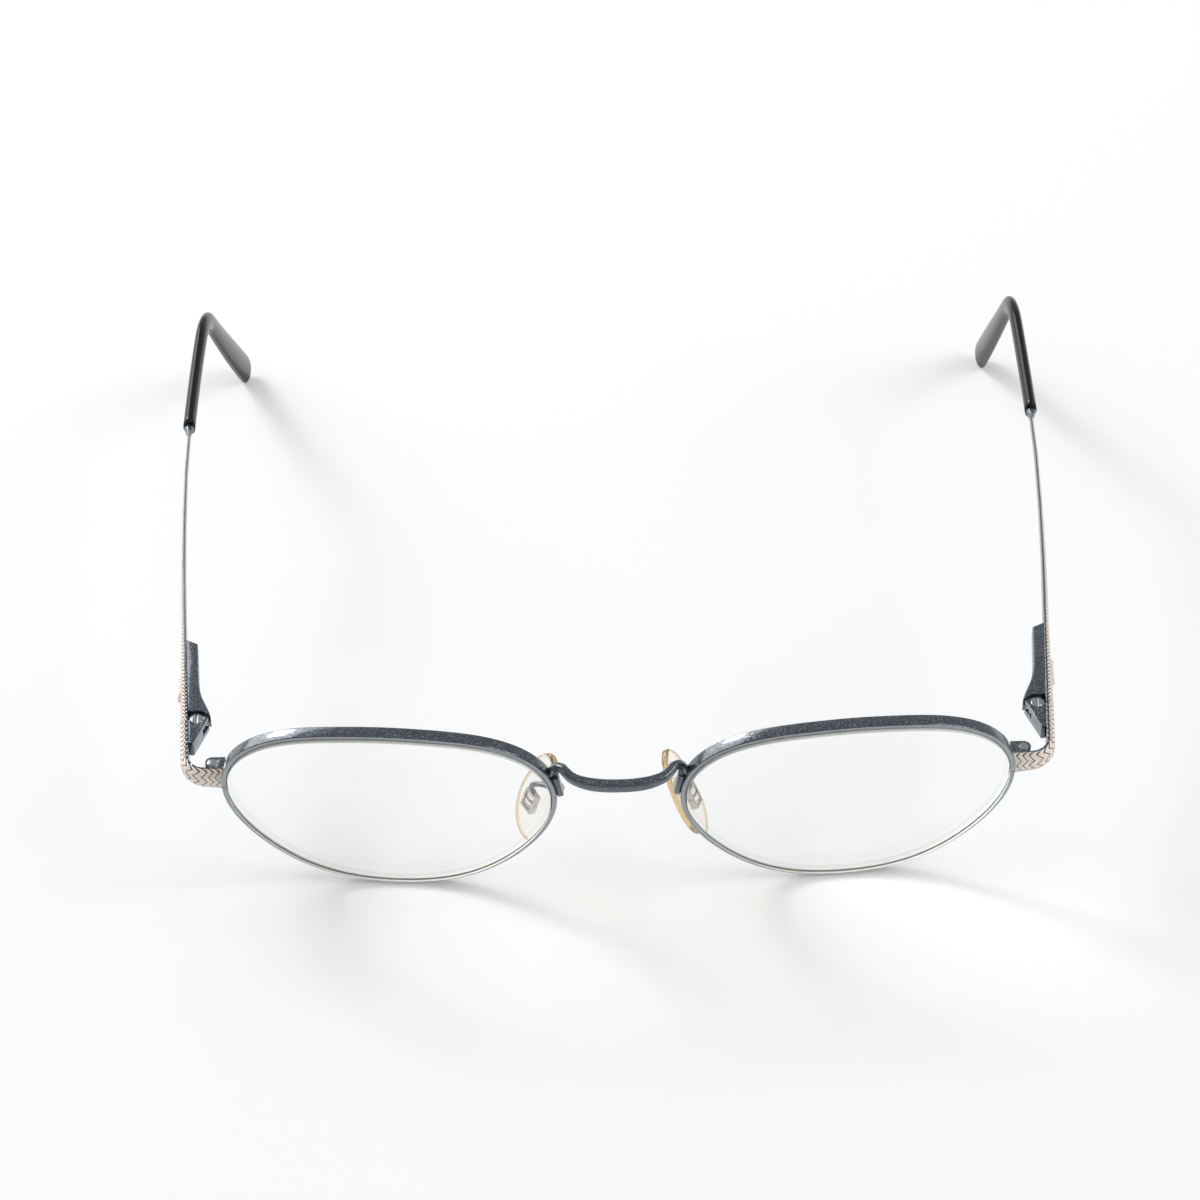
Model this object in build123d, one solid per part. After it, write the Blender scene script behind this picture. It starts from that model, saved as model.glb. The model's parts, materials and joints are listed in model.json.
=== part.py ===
from build123d import *
import math
import os

# Oval wire eyeglasses with spring hinges, standing open on a table on both rims and both ear tips.
# X runs across the face with the wearer's left on plus, Y runs back along the temples and Z is up.
# The origin is the bottom centre of the standing glasses. Lengths are millimetres, angles degrees.
# Every left piece is drawn at plus X and the right one is its mirror image.
# The hinge is the careful part: forked front block, bushed screw, sliding knuckle, spring and housing.

# How the glasses stand
lens_lean = 13.6
face_wrap = 4.1
rest_pitch = 5.5

# Lens outline, a wide oval with a flattened top and full upper shoulders
lens_width = 47.0
lens_height = 34.3
lens_gap = 19.7
# Shares of the outline's waves, by how many fit round it: wide and square, then flat top and shoulders
level_waves = {2: 0.1545, 4: 0.007}
upright_waves = {3: 0.048, 5: 0.0155}
outline_points = 72
outline_samples = 1600

# Lenses
base_radius = 150.0
back_radius = 80.0
lens_thickness = 1.8
lens_proud = 0.25
bevel_height = 0.35
bevel_width = 0.9
bevel_chamfer = 0.3
lens_room_margin = 0.05
seat_clearance = 0.03

# Eyewires
rim_thickness = 0.8
rim_depth = 1.9
rim_edge_chamfer = 0.18
rim_slit = 0.12

# Bridge, as places of its centre line: across, forward of the rims, above the lens centres
bridge_height = 1.8
bridge_depth = 1.5
bridge_chamfer = 0.3
bridge_taper_share = 0.3
bridge_root_height = 1.0
bridge_root_depth = 1.15
bridge_stations = 14
bridge_forward = 2.5
bridge_rise = 10.05
bridge_end_across = 9.9
bridge_end_back = 1.3
bridge_end_drop = 2.3
bridge_across_shares = (0.36, 0.565, 0.725, 0.82, 0.88)
bridge_forward_shares = (0.9, 0.66, 0.2, -0.3, -0.5)
bridge_drop_shares = (-0.02, -0.04, -0.06, -0.1, 0.1)

# Temple strip: a flat inner side with a domed, engraved outer side
strip_height = 3.0
strip_flat = 0.6
strip_dome = 0.7
joint_gap = 0.1
joint_across = 63.0

# End pieces, which turn the corner from the rim to the hinge
end_reach = 10.0
end_bend_radius = 4.3
end_splay = 4.5
end_slant = 2.0
end_root_across = 55.6
end_stations = 24
end_flare = 1.1
end_flare_drop = 0.4
end_flare_share = 0.42

# Closing blocks that clamp each eyewire round its lens
block_across = 58.9
block_radius = 1.05
block_half_height = 1.35
block_foot_across = 57.0
block_foot_width = 1.1
block_foot_reach = 1.6
closing_screw_radius = 0.45
closing_head_radius = 0.7
closing_head_height = 0.45

# Hinge axis, counted from the lens centres
hinge_across = 61.75
hinge_back = 15.36
hinge_rise = 5.3

# Hinge front block with its two knuckle plates
plate_half_height = 1.3
slot_half_height = 0.55
knuckle_radius = 1.15
cam_corner_across = 1.70
cam_corner_back = 0.39
nose_across = 0.20
nose_reach = 4.9
slot_cut_radius = 1.9
nose_round = 0.25

# Hinge screw and bush
screw_radius = 0.6
screw_head_radius = 0.95
screw_head_height = 0.4
screw_head_proud = 0.15
bush_wall = 0.17
running_clearance = 0.03
driver_slot_width = 0.3
driver_slot_depth = 0.2

# Sliding knuckle with its shank
slider_half_height = 0.5
neck_width = 0.9
neck_reach = 4.2
shank_radius = 0.27
shank_reach = 13.6
shank_head_radius = 0.46
shank_head_length = 0.6
shank_offset = 0.39

# Spring on the shank, and the stop it pushes against
spring_wire_radius = 0.1
spring_mean_radius = 0.39
spring_turns = 7
spring_steps = 14
wire_sides = 6
stop_start = 4.7
stop_length = 0.9
spring_free_play = 0.5

# Spring housing on the temple
housing_splay = 5.0
housing_width = 1.7
housing_half_height = 1.3
housing_back = 17.4
housing_back_slant = 1.1
housing_flare_start = 9.0
housing_heel_across = 2.03
housing_heel_back = 0.75
housing_heel_width = 0.53
housing_heel_slant = 24.8
flare_middle_share = 0.25
seat_front_share = 0.98
housing_mouth = 2.1
housing_seat_radius = 1.83
housing_chamfer = 0.18
bore_radius = 0.52
bore_end_gap = 0.9
mouth_clearance = 0.07

# Temples behind the hinge: stations from the hinge axis to the sleeve mouth
flat_run = 18.0
taper_stations = (18.0, 25.0, 34.0, 45.0, 57.0, 66.5)
taper_across = (64.57, 65.18, 65.90, 66.63, 67.24, 67.42)
taper_heights = (3.0, 2.9, 2.6, 2.3, 1.95, 1.6)
taper_flat = (0.43, 0.42, 0.38, 0.34, 0.30, 0.28)
taper_dome = (0.43, 0.40, 0.36, 0.31, 0.28, 0.26)
collar_length = 2.6
collar_radius = 0.78
core_radius = 0.6
sleeve_across = 67.75
sleeve_inward = {"left": 1.2, "right": 3.0}

# Ear bend and tip sleeves
bend_start = 90.5
bend_radius = 14.0
bend_turn = 52.0
sleeve_start = 68.1
sleeve_half_width = 0.97
sleeve_half_height = 1.55
paddle_half_width = 1.15
paddle_half_height = 2.6
paddle_end_length = 2.0
core_stop = 12.0
core_clearance = 0.02
straight_steps = 2
bend_steps = 8
drop_steps = 4
cap_step = 15

# Plain raised plaque on each temple
plaque_start = 5.2
plaque_length = 4.6
plaque_half_height = 0.95
plaque_proud = 0.35

# Nose pads, their boxes and wire arms
pad_across = {"left": 10.1, "right": 12.1}
pad_back = 8.0
pad_drop = 2.75
pad_turn = {"left": 75.3, "right": 62.7}
pad_splay = {"left": 23.2, "right": 18.7}
pad_lean = {"left": 14.2, "right": 1.6}
pad_height = 14.2
pad_width = 8.6
pad_thickness = 1.6
pad_crown = 0.8
pad_narrow_share = 0.14
pad_rim_round = 0.25
pad_back_share = 0.94
pad_points = 24
pad_dome_turns = (25.0, 50.0, 72.0)
pad_pivot = 0.75
lug_half_width = 0.7
lug_half_height = 1.1
lug_height = 1.2
box_half_width = 1.32
box_half_height = 1.68
box_wall = 0.32
box_corner_round = 0.25
box_gap = 0.25
box_depth = 1.0
pad_screw_radius = 0.22
pad_screw_head_radius = 0.4
pad_screw_head_length = 0.2
arm_radius = 0.42
arm_sides = 8
arm_stations = 20
foot_width = 0.95
foot_depth = 1.5
foot_chamfer = 0.2
foot_low = 3.6
foot_high = 7.6
foot_back = 0.95
arm_root_rise = 0.6
arm_turn_back = 2.0
arm_turn_drop = 0.4
arm_loop_rise = 1.2
arm_loop_back = 0.8

# One overrun and one reach serve all cuts, and one margin picks edges that lie on a face
overrun = 0.5
cut_reach = 10.0
edge_margin = 0.02
quarter_turn = 90

half_outline = lens_width / 2
lens_reach = lens_height / 2
corner_back = -end_reach
lens_across = lens_gap / 2 + half_outline * math.cos(math.radians(face_wrap))


def unit_oval(angle):
    """One point of the outline before it is stretched to the lens size."""
    radius = 1 + sum(share * math.cos(count * angle) for count, share in level_waves.items())
    radius += sum(share * math.sin(count * angle) for count, share in upright_waves.items())
    return radius * math.cos(angle), radius * math.sin(angle)


def oval_span():
    """Half width, lowest and highest value of the unit outline."""
    steps = [math.tau * step / outline_samples for step in range(outline_samples)]
    places = [unit_oval(angle) for angle in steps]
    heights = [place[1] for place in places]
    return max(place[0] for place in places), min(heights), max(heights)


oval_half, oval_low, oval_high = oval_span()


def lens_point(angle, offset=0):
    """Place on the lens edge, moved outward square to the edge by the offset."""

    def stretched(turn):
        across, up = unit_oval(turn)
        middle = (oval_low + oval_high) / 2
        return across / oval_half * half_outline, (up - middle) / (oval_high - oval_low) * lens_height

    nudge = math.tau / outline_samples
    across, up = stretched(angle)
    before = stretched(angle - nudge)
    after = stretched(angle + nudge)
    run, climb = after[0] - before[0], after[1] - before[1]
    length = math.hypot(run, climb)
    return across + climb / length * offset, up - run / length * offset


def rim_sag(across, up):
    """How far the face-form curve falls back at a place on the lens."""
    return base_radius - math.sqrt(base_radius ** 2 - across ** 2 - up ** 2)


def floor_to_centre():
    """Height of the lens centres when the front lower edge of the rims touches the table."""
    lean = math.radians(lens_lean)
    wrap = math.radians(face_wrap)
    lows = []
    for step in range(outline_samples):
        across, up = lens_point(math.tau * step / outline_samples, rim_thickness)
        back = across * math.sin(wrap) + rim_sag(across, up) * math.cos(wrap)
        lows.append(up * math.cos(lean) + back * math.sin(lean))
    return -min(lows)


lens_rise = floor_to_centre()
front_place = Pos(0, 0, lens_rise) * Rot(lens_lean, 0, 0)
lens_place = Pos(lens_across, 0, lens_rise) * Rot(lens_lean, 0, 0) * Rot(0, 0, face_wrap)
temple_place = Pos(0, hinge_back, lens_rise + hinge_rise) * Rot(rest_pitch, 0, 0)
hinge_place = temple_place * Pos(hinge_across, 0, 0)
housing_place = hinge_place * Rot(0, 0, -housing_splay)
strip_side = (joint_across - hinge_across) * math.cos(math.radians(housing_splay))


def slit_height(turn):
    """Height over the hinge line of the rim at a turn."""
    middle = lens_place * Pos(*edge_place(turn, rim_thickness / 2, rim_depth / 2))
    return abs((temple_place.inverse() * middle).position.Z)


def edge_place(turn, outward, back):
    """Place beside the lens edge: outward square to it, and back from the front of the rim."""
    base = lens_point(turn)
    across, up = lens_point(turn, outward)
    return Vector(across, rim_sag(*base) + back, up)


slit_turn = min((math.pi / 2 * step / outline_samples for step in range(outline_samples)), key=slit_height)


def outline_turn(step):
    """Turn of one corner of the many-sided outline, counted from the slit."""
    return slit_turn + math.tau * step / outline_points


def face_through(places):
    """Flat face whose corners are the places."""
    return Face(Wire.make_polygon(places, close=True))


def outline_face(offset):
    """Flat face bounded by the lens edge, moved out by the offset."""
    corners = [lens_point(outline_turn(step), offset) for step in range(outline_points)]
    return face_through([Vector(across, 0, up) for across, up in corners])


def ring(profile):
    """A section carried right round the lens edge, given as outward and backward places."""
    half = outline_points // 2
    parts = []
    for first in (0, half):
        turns = [outline_turn(first + step) for step in range(half + 1)]
        sections = [face_through([edge_place(turn, out, back) for out, back in profile]) for turn in turns]
        parts.append(loft(sections, ruled=True))
    return parts[0] + parts[1]


def outline_block(offset, front, back):
    """The outline drawn out along the lens axis from front to back."""
    face = outline_face(offset).moved(Pos(0, front, 0))
    return extrude(face, amount=back - front, dir=(0, 1, 0))


def ball(radius, front):
    """Ball whose nearest point to the wearer's view lies at the given depth."""
    return Pos(0, front + radius, 0) * Sphere(radius)


def plate(places, half_height):
    """Flat shape through the places, drawn out to both sides."""
    return extrude(make_face(Polyline(*places, close=True)), amount=half_height, both=True)


def rod(radius, start, end):
    """Round bar along Y from the start to the end."""
    return extrude(Plane((0, start, 0), x_dir=(1, 0, 0), z_dir=(0, 1, 0)) * Circle(radius), amount=end - start)


def post(radius, low, high):
    """Round bar along Z from low to high."""
    return extrude(Pos(0, 0, low) * Circle(radius), amount=high - low)


def mirrored(shape):
    """The right-hand twin of a left piece."""
    return mirror(shape, about=Plane.YZ)


def rim_envelope():
    """Room taken by the eyewire and, behind it, by the lens edge."""
    rim_room = ring([(0, 0), (rim_thickness, 0), (rim_thickness, rim_depth), (0, rim_depth)])
    lens_room = outline_block(lens_room_margin, -lens_reach, lens_reach)
    return lens_place * rim_room, lens_place * lens_room


rim_room, lens_room = rim_envelope()


def clear_of_rim(shape):
    """The shape without what would lie inside the eyewire or the lens."""
    return shape - rim_room - lens_room


def groove_profile():
    """Section of the rim with broken corners and the groove on its inner side."""
    edge = rim_edge_chamfer
    depth = bevel_height + seat_clearance
    front = (rim_depth - bevel_width) / 2 - seat_clearance
    back = rim_depth - front
    profile = [(0, edge), (edge, 0), (rim_thickness - edge, 0), (rim_thickness, edge)]
    profile += [(across, rim_depth - place) for across, place in reversed(profile)]
    profile += [(0, back), (depth, back - bevel_chamfer), (depth, front + bevel_chamfer), (0, front)]
    return profile


def slit_section(turn, height):
    """Rim section slid along the rim until it lies level at a height over the hinge line."""
    ahead = lens_point(turn + math.tau / outline_samples)
    here = lens_point(turn)
    direction = Vector(ahead[0] - here[0], 0, ahead[1] - here[1]).normalized()
    to_hinge = temple_place.inverse() * lens_place
    places = []
    for out, back in groove_profile():
        place = edge_place(turn, out, back)
        start = (to_hinge * Pos(*place)).position.Z
        slope = (to_hinge * Pos(*(place + direction))).position.Z - start
        places.append(place + direction * ((height - start) / slope))
    return face_through(places)


def eyewire():
    """Grooved rim, parted at the closing block."""
    sections = [slit_section(outline_turn(0), rim_slit / 2)]
    for step in range(1, outline_points):
        turn = outline_turn(step)
        sections.append(face_through([edge_place(turn, out, back) for out, back in groove_profile()]))
    sections.append(slit_section(outline_turn(outline_points), -rim_slit / 2))
    return lens_place * loft(sections, ruled=True)


def lens():
    """Meniscus lens whose bevelled edge sits in the groove of the eyewire."""
    slab = outline_block(-seat_clearance, -lens_reach, lens_reach)
    body = (slab & ball(base_radius, -lens_proud)) - ball(back_radius, lens_thickness - lens_proud)
    front = (rim_depth - bevel_width) / 2
    back = rim_depth - front
    bevel = [(-bevel_height, front), (-seat_clearance, front), (bevel_height, front + bevel_chamfer)]
    bevel += [(bevel_height, back - bevel_chamfer), (-seat_clearance, back), (-bevel_height, back)]
    return lens_place * (body + ring(bevel))


def barred_section(plane, width, depth, corner):
    """Rectangle with broken corners on a plane."""
    side, end = width / 2, depth / 2
    places = [(side, end - corner), (side - corner, end), (corner - side, end), (-side, end - corner)]
    places += [(-across, -back) for across, back in places]
    return plane * make_face(Polyline(*places, close=True))


def bridge_half():
    """Half of the bowed bridge, with the shoulder that turns back to the rim."""
    shares = zip(bridge_across_shares, bridge_forward_shares, bridge_drop_shares)
    half = []
    for across, forward, drop in shares:
        half.append((bridge_end_across * across, -bridge_forward * forward, bridge_rise - bridge_end_drop * drop))
    half.append((bridge_end_across, bridge_end_back, bridge_rise - bridge_end_drop))
    places = [(-across, back, rise) for across, back, rise in reversed(half)]
    places = places + [(0, -bridge_forward, bridge_rise)] + half
    path = Edge.make_spline([Vector(*place) for place in places])
    middle = Plane(origin=(0, -bridge_forward, bridge_rise), x_dir=(0, 0, 1), z_dir=(1, 0, 0))
    sections = [barred_section(middle, bridge_height, bridge_depth, bridge_chamfer)]
    for step in range(1, bridge_stations + 1):
        share = step / bridge_stations
        taper = max(share - bridge_taper_share, 0) / (1 - bridge_taper_share)
        height = bridge_height + (bridge_root_height - bridge_height) * taper
        depth = bridge_depth + (bridge_root_depth - bridge_depth) * taper
        sections.append(barred_section(upright_plane(path, (1 + share) / 2), height, depth, bridge_chamfer))
    return clear_of_rim(front_place * loft(sections, ruled=True))


def upright_plane(path, share):
    """Plane square to a path whose local X points up as far as it can."""
    direction = path % share
    up = Vector(0, 0, 1) - direction * direction.Z
    return Plane(origin=path @ share, x_dir=up, z_dir=direction)


def dome_section(place, height, flat, dome):
    """Flat-backed strip section with a domed outer side, facing out along local X."""
    half = height / 2
    edges = [
        Line((0, -half), (flat, -half)),
        ThreePointArc((flat, -half), (flat + dome, 0), (flat, half)),
        Line((flat, half), (0, half)),
        Line((0, half), (0, -half)),
    ]
    return place * make_face(edges)


def end_piece():
    """Domed strip that turns the corner from the rim to the hinge."""
    side = joint_across
    corner = side - end_reach * math.tan(math.radians(end_splay))
    root = corner_back - (corner - end_root_across) * math.tan(math.radians(end_slant))
    start_side = side - joint_gap / 2 * math.tan(math.radians(end_splay))
    path = FilletPolyline(
        (start_side, -joint_gap / 2), (corner, corner_back), (end_root_across, root), radius=end_bend_radius
    )
    sections = []
    for step in range(end_stations + 1):
        share = step / end_stations
        swell = max(share - end_flare_share, 0) / (1 - end_flare_share)
        height = strip_height + end_flare * swell
        drop = end_flare_drop * swell
        direction = path % share
        inward = Vector(0, 0, 1).cross(direction)
        plane = Plane(origin=path @ share - Vector(0, 0, drop), x_dir=inward, z_dir=direction)
        sections.append(dome_section(plane, height, strip_flat, strip_dome))
    strip = loft(sections, ruled=True)
    return clear_of_rim(temple_place * strip) - closing_block_blank()


def closing_block_blank():
    """Both halves of a closing block before they are parted, with the foot that meets the rim."""
    centre = corner_back + block_radius
    boss = Pos(block_across, centre, 0) * post(block_radius, -block_half_height, block_half_height)
    run = block_across - block_foot_across
    web = Pos(block_across - run / 2, centre, 0) * Box(run, block_radius * 2, block_half_height * 2)
    foot = Pos(block_foot_across + block_foot_width / 2, centre - block_foot_reach / 2, 0)
    foot = foot * Box(block_foot_width, block_foot_reach, block_half_height * 2)
    return clear_of_rim(temple_place * (boss + web + foot))


def closing_screw(clearance):
    """Clamp screw of an eyewire, or the room it needs."""
    head_low = block_half_height - closing_head_height
    shank = post(closing_screw_radius + clearance, -block_half_height - overrun * clearance, head_low)
    head = post(closing_head_radius + clearance, head_low, block_half_height + overrun * clearance)
    screw = shank + head
    return temple_place * Pos(block_across, corner_back + block_radius, 0) * screw


def closing_halves():
    """Upper and lower half of the closing block with the screw hole and head recess."""
    blank = closing_block_blank() - closing_screw(seat_clearance)
    room = Box(cut_reach, cut_reach, cut_reach)
    rise = (cut_reach + rim_slit) / 2
    upper_room = temple_place * Pos(block_across, corner_back, rise) * room
    lower_room = temple_place * Pos(block_across, corner_back, -rise) * room
    return blank & upper_room, blank & lower_room


def driver_slot(head_radius, top):
    """Cut for the screwdriver across a screw head whose face is at the top."""
    return Pos(0, 0, top) * Box(driver_slot_width, cut_reach, driver_slot_depth * 2)


def hinge_block():
    """Forked front block: two knuckle plates, the polished cam slant and a seat for the screw head."""
    corner = Vector(-cam_corner_across, cam_corner_back, 0)
    reach = corner.length
    tangent_angle = math.atan2(corner.Y, corner.X) - math.acos(knuckle_radius / reach)
    tangent = (knuckle_radius * math.cos(tangent_angle), knuckle_radius * math.sin(tangent_angle))
    side = joint_across - hinge_across
    lean = math.tan(math.radians(end_splay))
    places = [
        (side - nose_reach * lean, -nose_reach),
        (side - nose_round * lean, -nose_round),
        (knuckle_radius, 0),
        (0, 0),
        tangent,
        (corner.X, corner.Y),
        (nose_across, -nose_reach),
    ]
    body = plate(places, plate_half_height)
    nose_edges = [edge for edge in body.edges().filter_by(Axis.Z) if edge.center().Y < -nose_reach + nose_round]
    body = fillet(nose_edges, nose_round)
    body = body + post(knuckle_radius, -plate_half_height, plate_half_height)
    body = body - post(slot_cut_radius, -slot_half_height, slot_half_height)
    head_low = plate_half_height + screw_head_proud - screw_head_height
    body = body - post(screw_radius, -plate_half_height * 2, 0)
    body = body - post(screw_radius + seat_clearance, 0, plate_half_height * 2)
    body = body - post(screw_head_radius + seat_clearance, head_low, plate_half_height * 2)
    return hinge_place * body


def hinge_screw():
    """Slotted cheese-head screw that carries the hinge."""
    top = plate_half_height + screw_head_proud
    head = post(screw_head_radius, top - screw_head_height, top)
    head = chamfer(head.edges().group_by(Axis.Z)[-1], driver_slot_depth / 2)
    screw = post(screw_radius, -plate_half_height, top - screw_head_height) + head
    return hinge_place * (screw - driver_slot(screw_head_radius, top))


def hinge_bush():
    """Thin sleeve on the screw that the sliding knuckle turns on."""
    inner = screw_radius + running_clearance
    half = slot_half_height - running_clearance
    return hinge_place * (post(inner + bush_wall, -half, half) - post(inner, -half * 2, half * 2))


def slider():
    """Knuckle with a flat neck and a headed shank, which pulls out of the housing."""
    bore = screw_radius + running_clearance * 2 + bush_wall
    body = post(knuckle_radius, -slider_half_height, slider_half_height)
    neck = Pos(shank_offset, neck_reach / 2, 0) * Box(neck_width, neck_reach, slider_half_height * 2)
    body = (body + neck) - post(bore, -plate_half_height, plate_half_height)
    shank = Pos(shank_offset, 0, 0) * rod(shank_radius, neck_reach, shank_reach)
    head = Pos(shank_offset, 0, 0) * rod(shank_head_radius, shank_reach - shank_head_length, shank_reach)
    return housing_place * (body + shank + head)


def spring_centres():
    """Centre points of the spring wire, in the housing's frame."""
    start = stop_start + stop_length + spring_free_play + spring_wire_radius
    end = shank_reach - shank_head_length - spring_wire_radius - seat_clearance
    count = spring_turns * spring_steps
    places = []
    for step in range(count + 1):
        turn = math.tau * step / spring_steps
        outward = Vector(math.cos(turn), 0, math.sin(turn))
        along = start + (end - start) * step / count
        places.append(outward * spring_mean_radius + Vector(shank_offset, along, 0))
    return places


def spring():
    """Wire coiled on the shank in front of its head."""
    places = spring_centres()
    rise = (places[1] - places[0]).Y * spring_steps / (math.tau * spring_mean_radius)
    sections = []
    for step, place in enumerate(places):
        turn = math.tau * step / spring_steps
        outward = Vector(math.cos(turn), 0, math.sin(turn))
        along = Vector(-math.sin(turn), rise, math.cos(turn))
        plane = Plane(origin=place, x_dir=outward, z_dir=along)
        sections.append(plane * RegularPolygon(spring_wire_radius, wire_sides))
    return housing_place * loft(sections, ruled=True)


def spring_stop():
    """Collar fixed in the mouth of the bore, which the spring is pressed against."""
    collar = rod(bore_radius, stop_start, stop_start + stop_length)
    collar = collar - rod(shank_radius + running_clearance, 0, shank_reach)
    return housing_place * Pos(shank_offset, 0, 0) * collar


def housing():
    """Spring housing: flared front with a round seat, mouth for the neck and a bore."""
    inner = strip_side - housing_width
    slant = math.radians(housing_heel_slant)
    heel = (-housing_heel_across, housing_heel_back)
    heel_end = (
        heel[0] + housing_heel_width * math.cos(slant),
        heel[1] + housing_heel_width * math.sin(slant),
    )
    run = housing_flare_start - heel[1]
    swell = -housing_heel_across - inner
    middle = (inner + swell * flare_middle_share, housing_flare_start - run / 2)
    front = housing_seat_radius * math.sqrt(1 / 2)
    edges = [
        Line((strip_side, housing_mouth), (strip_side, housing_back)),
        Line((strip_side, housing_back), (inner, housing_back - housing_back_slant)),
        Line((inner, housing_back - housing_back_slant), (inner, housing_flare_start)),
        Spline((inner, housing_flare_start), middle, heel, tangents=[(0, -1), (swell, -run)]),
        Line(heel, heel_end),
        Line(heel_end, (0, front)),
        Line((0, front), (strip_side / 2, housing_seat_radius * seat_front_share)),
        Line((strip_side / 2, housing_seat_radius * seat_front_share), (strip_side, housing_mouth)),
    ]
    body = extrude(make_face(edges), amount=housing_half_height, both=True)
    rims = [edge for edge in body.edges() if abs(abs(edge.center().Z) - housing_half_height) < edge_margin]
    rims = [edge for edge in rims if edge.center().X < strip_side - housing_chamfer and edge.center().Y > housing_mouth]
    body = chamfer(rims, housing_chamfer)
    body = body - post(housing_seat_radius, -housing_half_height * 2, housing_half_height * 2)
    mouth_width = neck_width + mouth_clearance * 2
    mouth_half = slider_half_height + mouth_clearance
    body = body - Pos(shank_offset, stop_start / 2, 0) * Box(mouth_width, stop_start, mouth_half * 2)
    body = body - Pos(shank_offset, 0, 0) * rod(bore_radius, stop_start - overrun, shank_reach + bore_end_gap)
    return housing_place * body


def temple_strip():
    """Tapering domed strip from the hinge to the sleeve mouth, ending in a flared collar and a core wire."""
    sections = [dome_section(strip_plane(0), strip_height, strip_flat, strip_dome)]
    for index in range(len(taper_stations)):
        ahead = min(index + 1, len(taper_stations) - 1)
        behind = max(index - 1, 0)
        run = taper_stations[ahead] - taper_stations[behind]
        drift = math.atan2(taper_across[ahead] - taper_across[behind], run)
        if index == 0:
            plane = strip_plane(flat_run)
        else:
            origin = (taper_across[index], taper_stations[index], 0)
            plane = level_plane(origin, drift)
        sections.append(dome_section(plane, taper_heights[index], taper_flat[index], taper_dome[index]))
    strip = loft(sections, ruled=True)
    end_centre = taper_across[-1] + (taper_flat[-1] + taper_dome[-1]) / 2
    thin = (taper_flat[-1] + taper_dome[-1]) / 2
    root = Plane(origin=(end_centre, sleeve_start - collar_length, 0), x_dir=(1, 0, 0), z_dir=(0, 1, 0))
    mouth = Plane(origin=(sleeve_across, sleeve_start, 0), x_dir=(1, 0, 0), z_dir=(0, 1, 0))
    flare = loft([root * Ellipse(thin, taper_heights[-1] / 2), mouth * Circle(collar_radius)])
    return strip + flare


def strip_plane(along):
    """Section plane of the straight front run of the temple strip, square to it."""
    splay = math.radians(housing_splay)
    base = joint_across + joint_gap / 2 * math.tan(splay)
    origin = (base + along * math.tan(splay), joint_gap / 2 + along, 0)
    return level_plane(origin, splay)


def level_plane(origin, drift):
    """Section plane of a level run that drifts outward by an angle."""
    across = (math.cos(drift), -math.sin(drift), 0)
    return Plane(origin=origin, x_dir=across, z_dir=(math.sin(drift), math.cos(drift), 0))


def ear_angle(distance):
    """Downward turn of the ear piece at a distance from the sleeve mouth."""
    turned = (distance - (bend_start - sleeve_start)) / bend_radius
    return min(max(turned, 0), math.radians(bend_turn))


def drop_run():
    """Straight length after the bend that lets the tip end rest on the table."""
    turn = math.radians(bend_turn)
    fall = math.radians(bend_turn - rest_pitch)
    along = bend_start + bend_radius * math.sin(turn)
    under = bend_radius * (1 - math.cos(turn))
    pitch = math.radians(rest_pitch)
    height = lens_rise + hinge_rise + along * math.sin(pitch) - under * math.cos(pitch)
    below = math.hypot(paddle_end_length * math.sin(fall), paddle_half_height * math.cos(fall))
    return (height - below) / math.sin(fall)


ear_length = bend_start - sleeve_start + bend_radius * math.radians(bend_turn) + drop_run()


def ear_place(distance, side):
    """Place on the centre line of the ear piece and its direction there."""
    angle = ear_angle(distance)
    straight = min(distance, bend_start - sleeve_start)
    beyond = max(distance - (bend_start - sleeve_start) - bend_radius * angle, 0)
    along = sleeve_start + straight + bend_radius * math.sin(angle) + beyond * math.cos(angle)
    under = bend_radius * (1 - math.cos(angle)) + beyond * math.sin(angle)
    share = distance / ear_length
    across = sleeve_across - sleeve_inward[side] * share * abs(share)
    drift = -2 * sleeve_inward[side] * abs(share) / ear_length
    direction = Vector(drift, math.cos(angle), -math.sin(angle)).normalized()
    return Vector(across, along, -under), direction


def ear_plane(distance, side):
    """Section plane square to the ear piece at a distance from the sleeve mouth."""
    place, direction = ear_place(distance, side)
    return Plane(origin=place, x_dir=Vector(1, 0, 0) - direction * direction.X, z_dir=direction)


def ear_distances(start, end):
    """Stations along the ear piece, close together in its bend."""
    straight = bend_start - sleeve_start
    bend = bend_radius * math.radians(bend_turn)
    places = [straight * step / straight_steps for step in range(straight_steps)]
    places += [straight + bend * step / bend_steps for step in range(bend_steps)]
    places += [straight + bend + drop_run() * step / drop_steps for step in range(drop_steps + 1)]
    return [start] + [place for place in places if start < place < end] + [end]


def ear_wire(radius, start, end, side):
    """Round wire along the ear piece."""
    sections = [ear_plane(distance, side) * Circle(radius) for distance in ear_distances(start, end)]
    return loft(sections, ruled=True)


def temple(side):
    """Strip, collar and the core wire that runs on inside the tip sleeve."""
    core = ear_wire(core_radius, -overrun, ear_length - core_stop, side)
    return temple_place * (temple_strip() + core)


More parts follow.
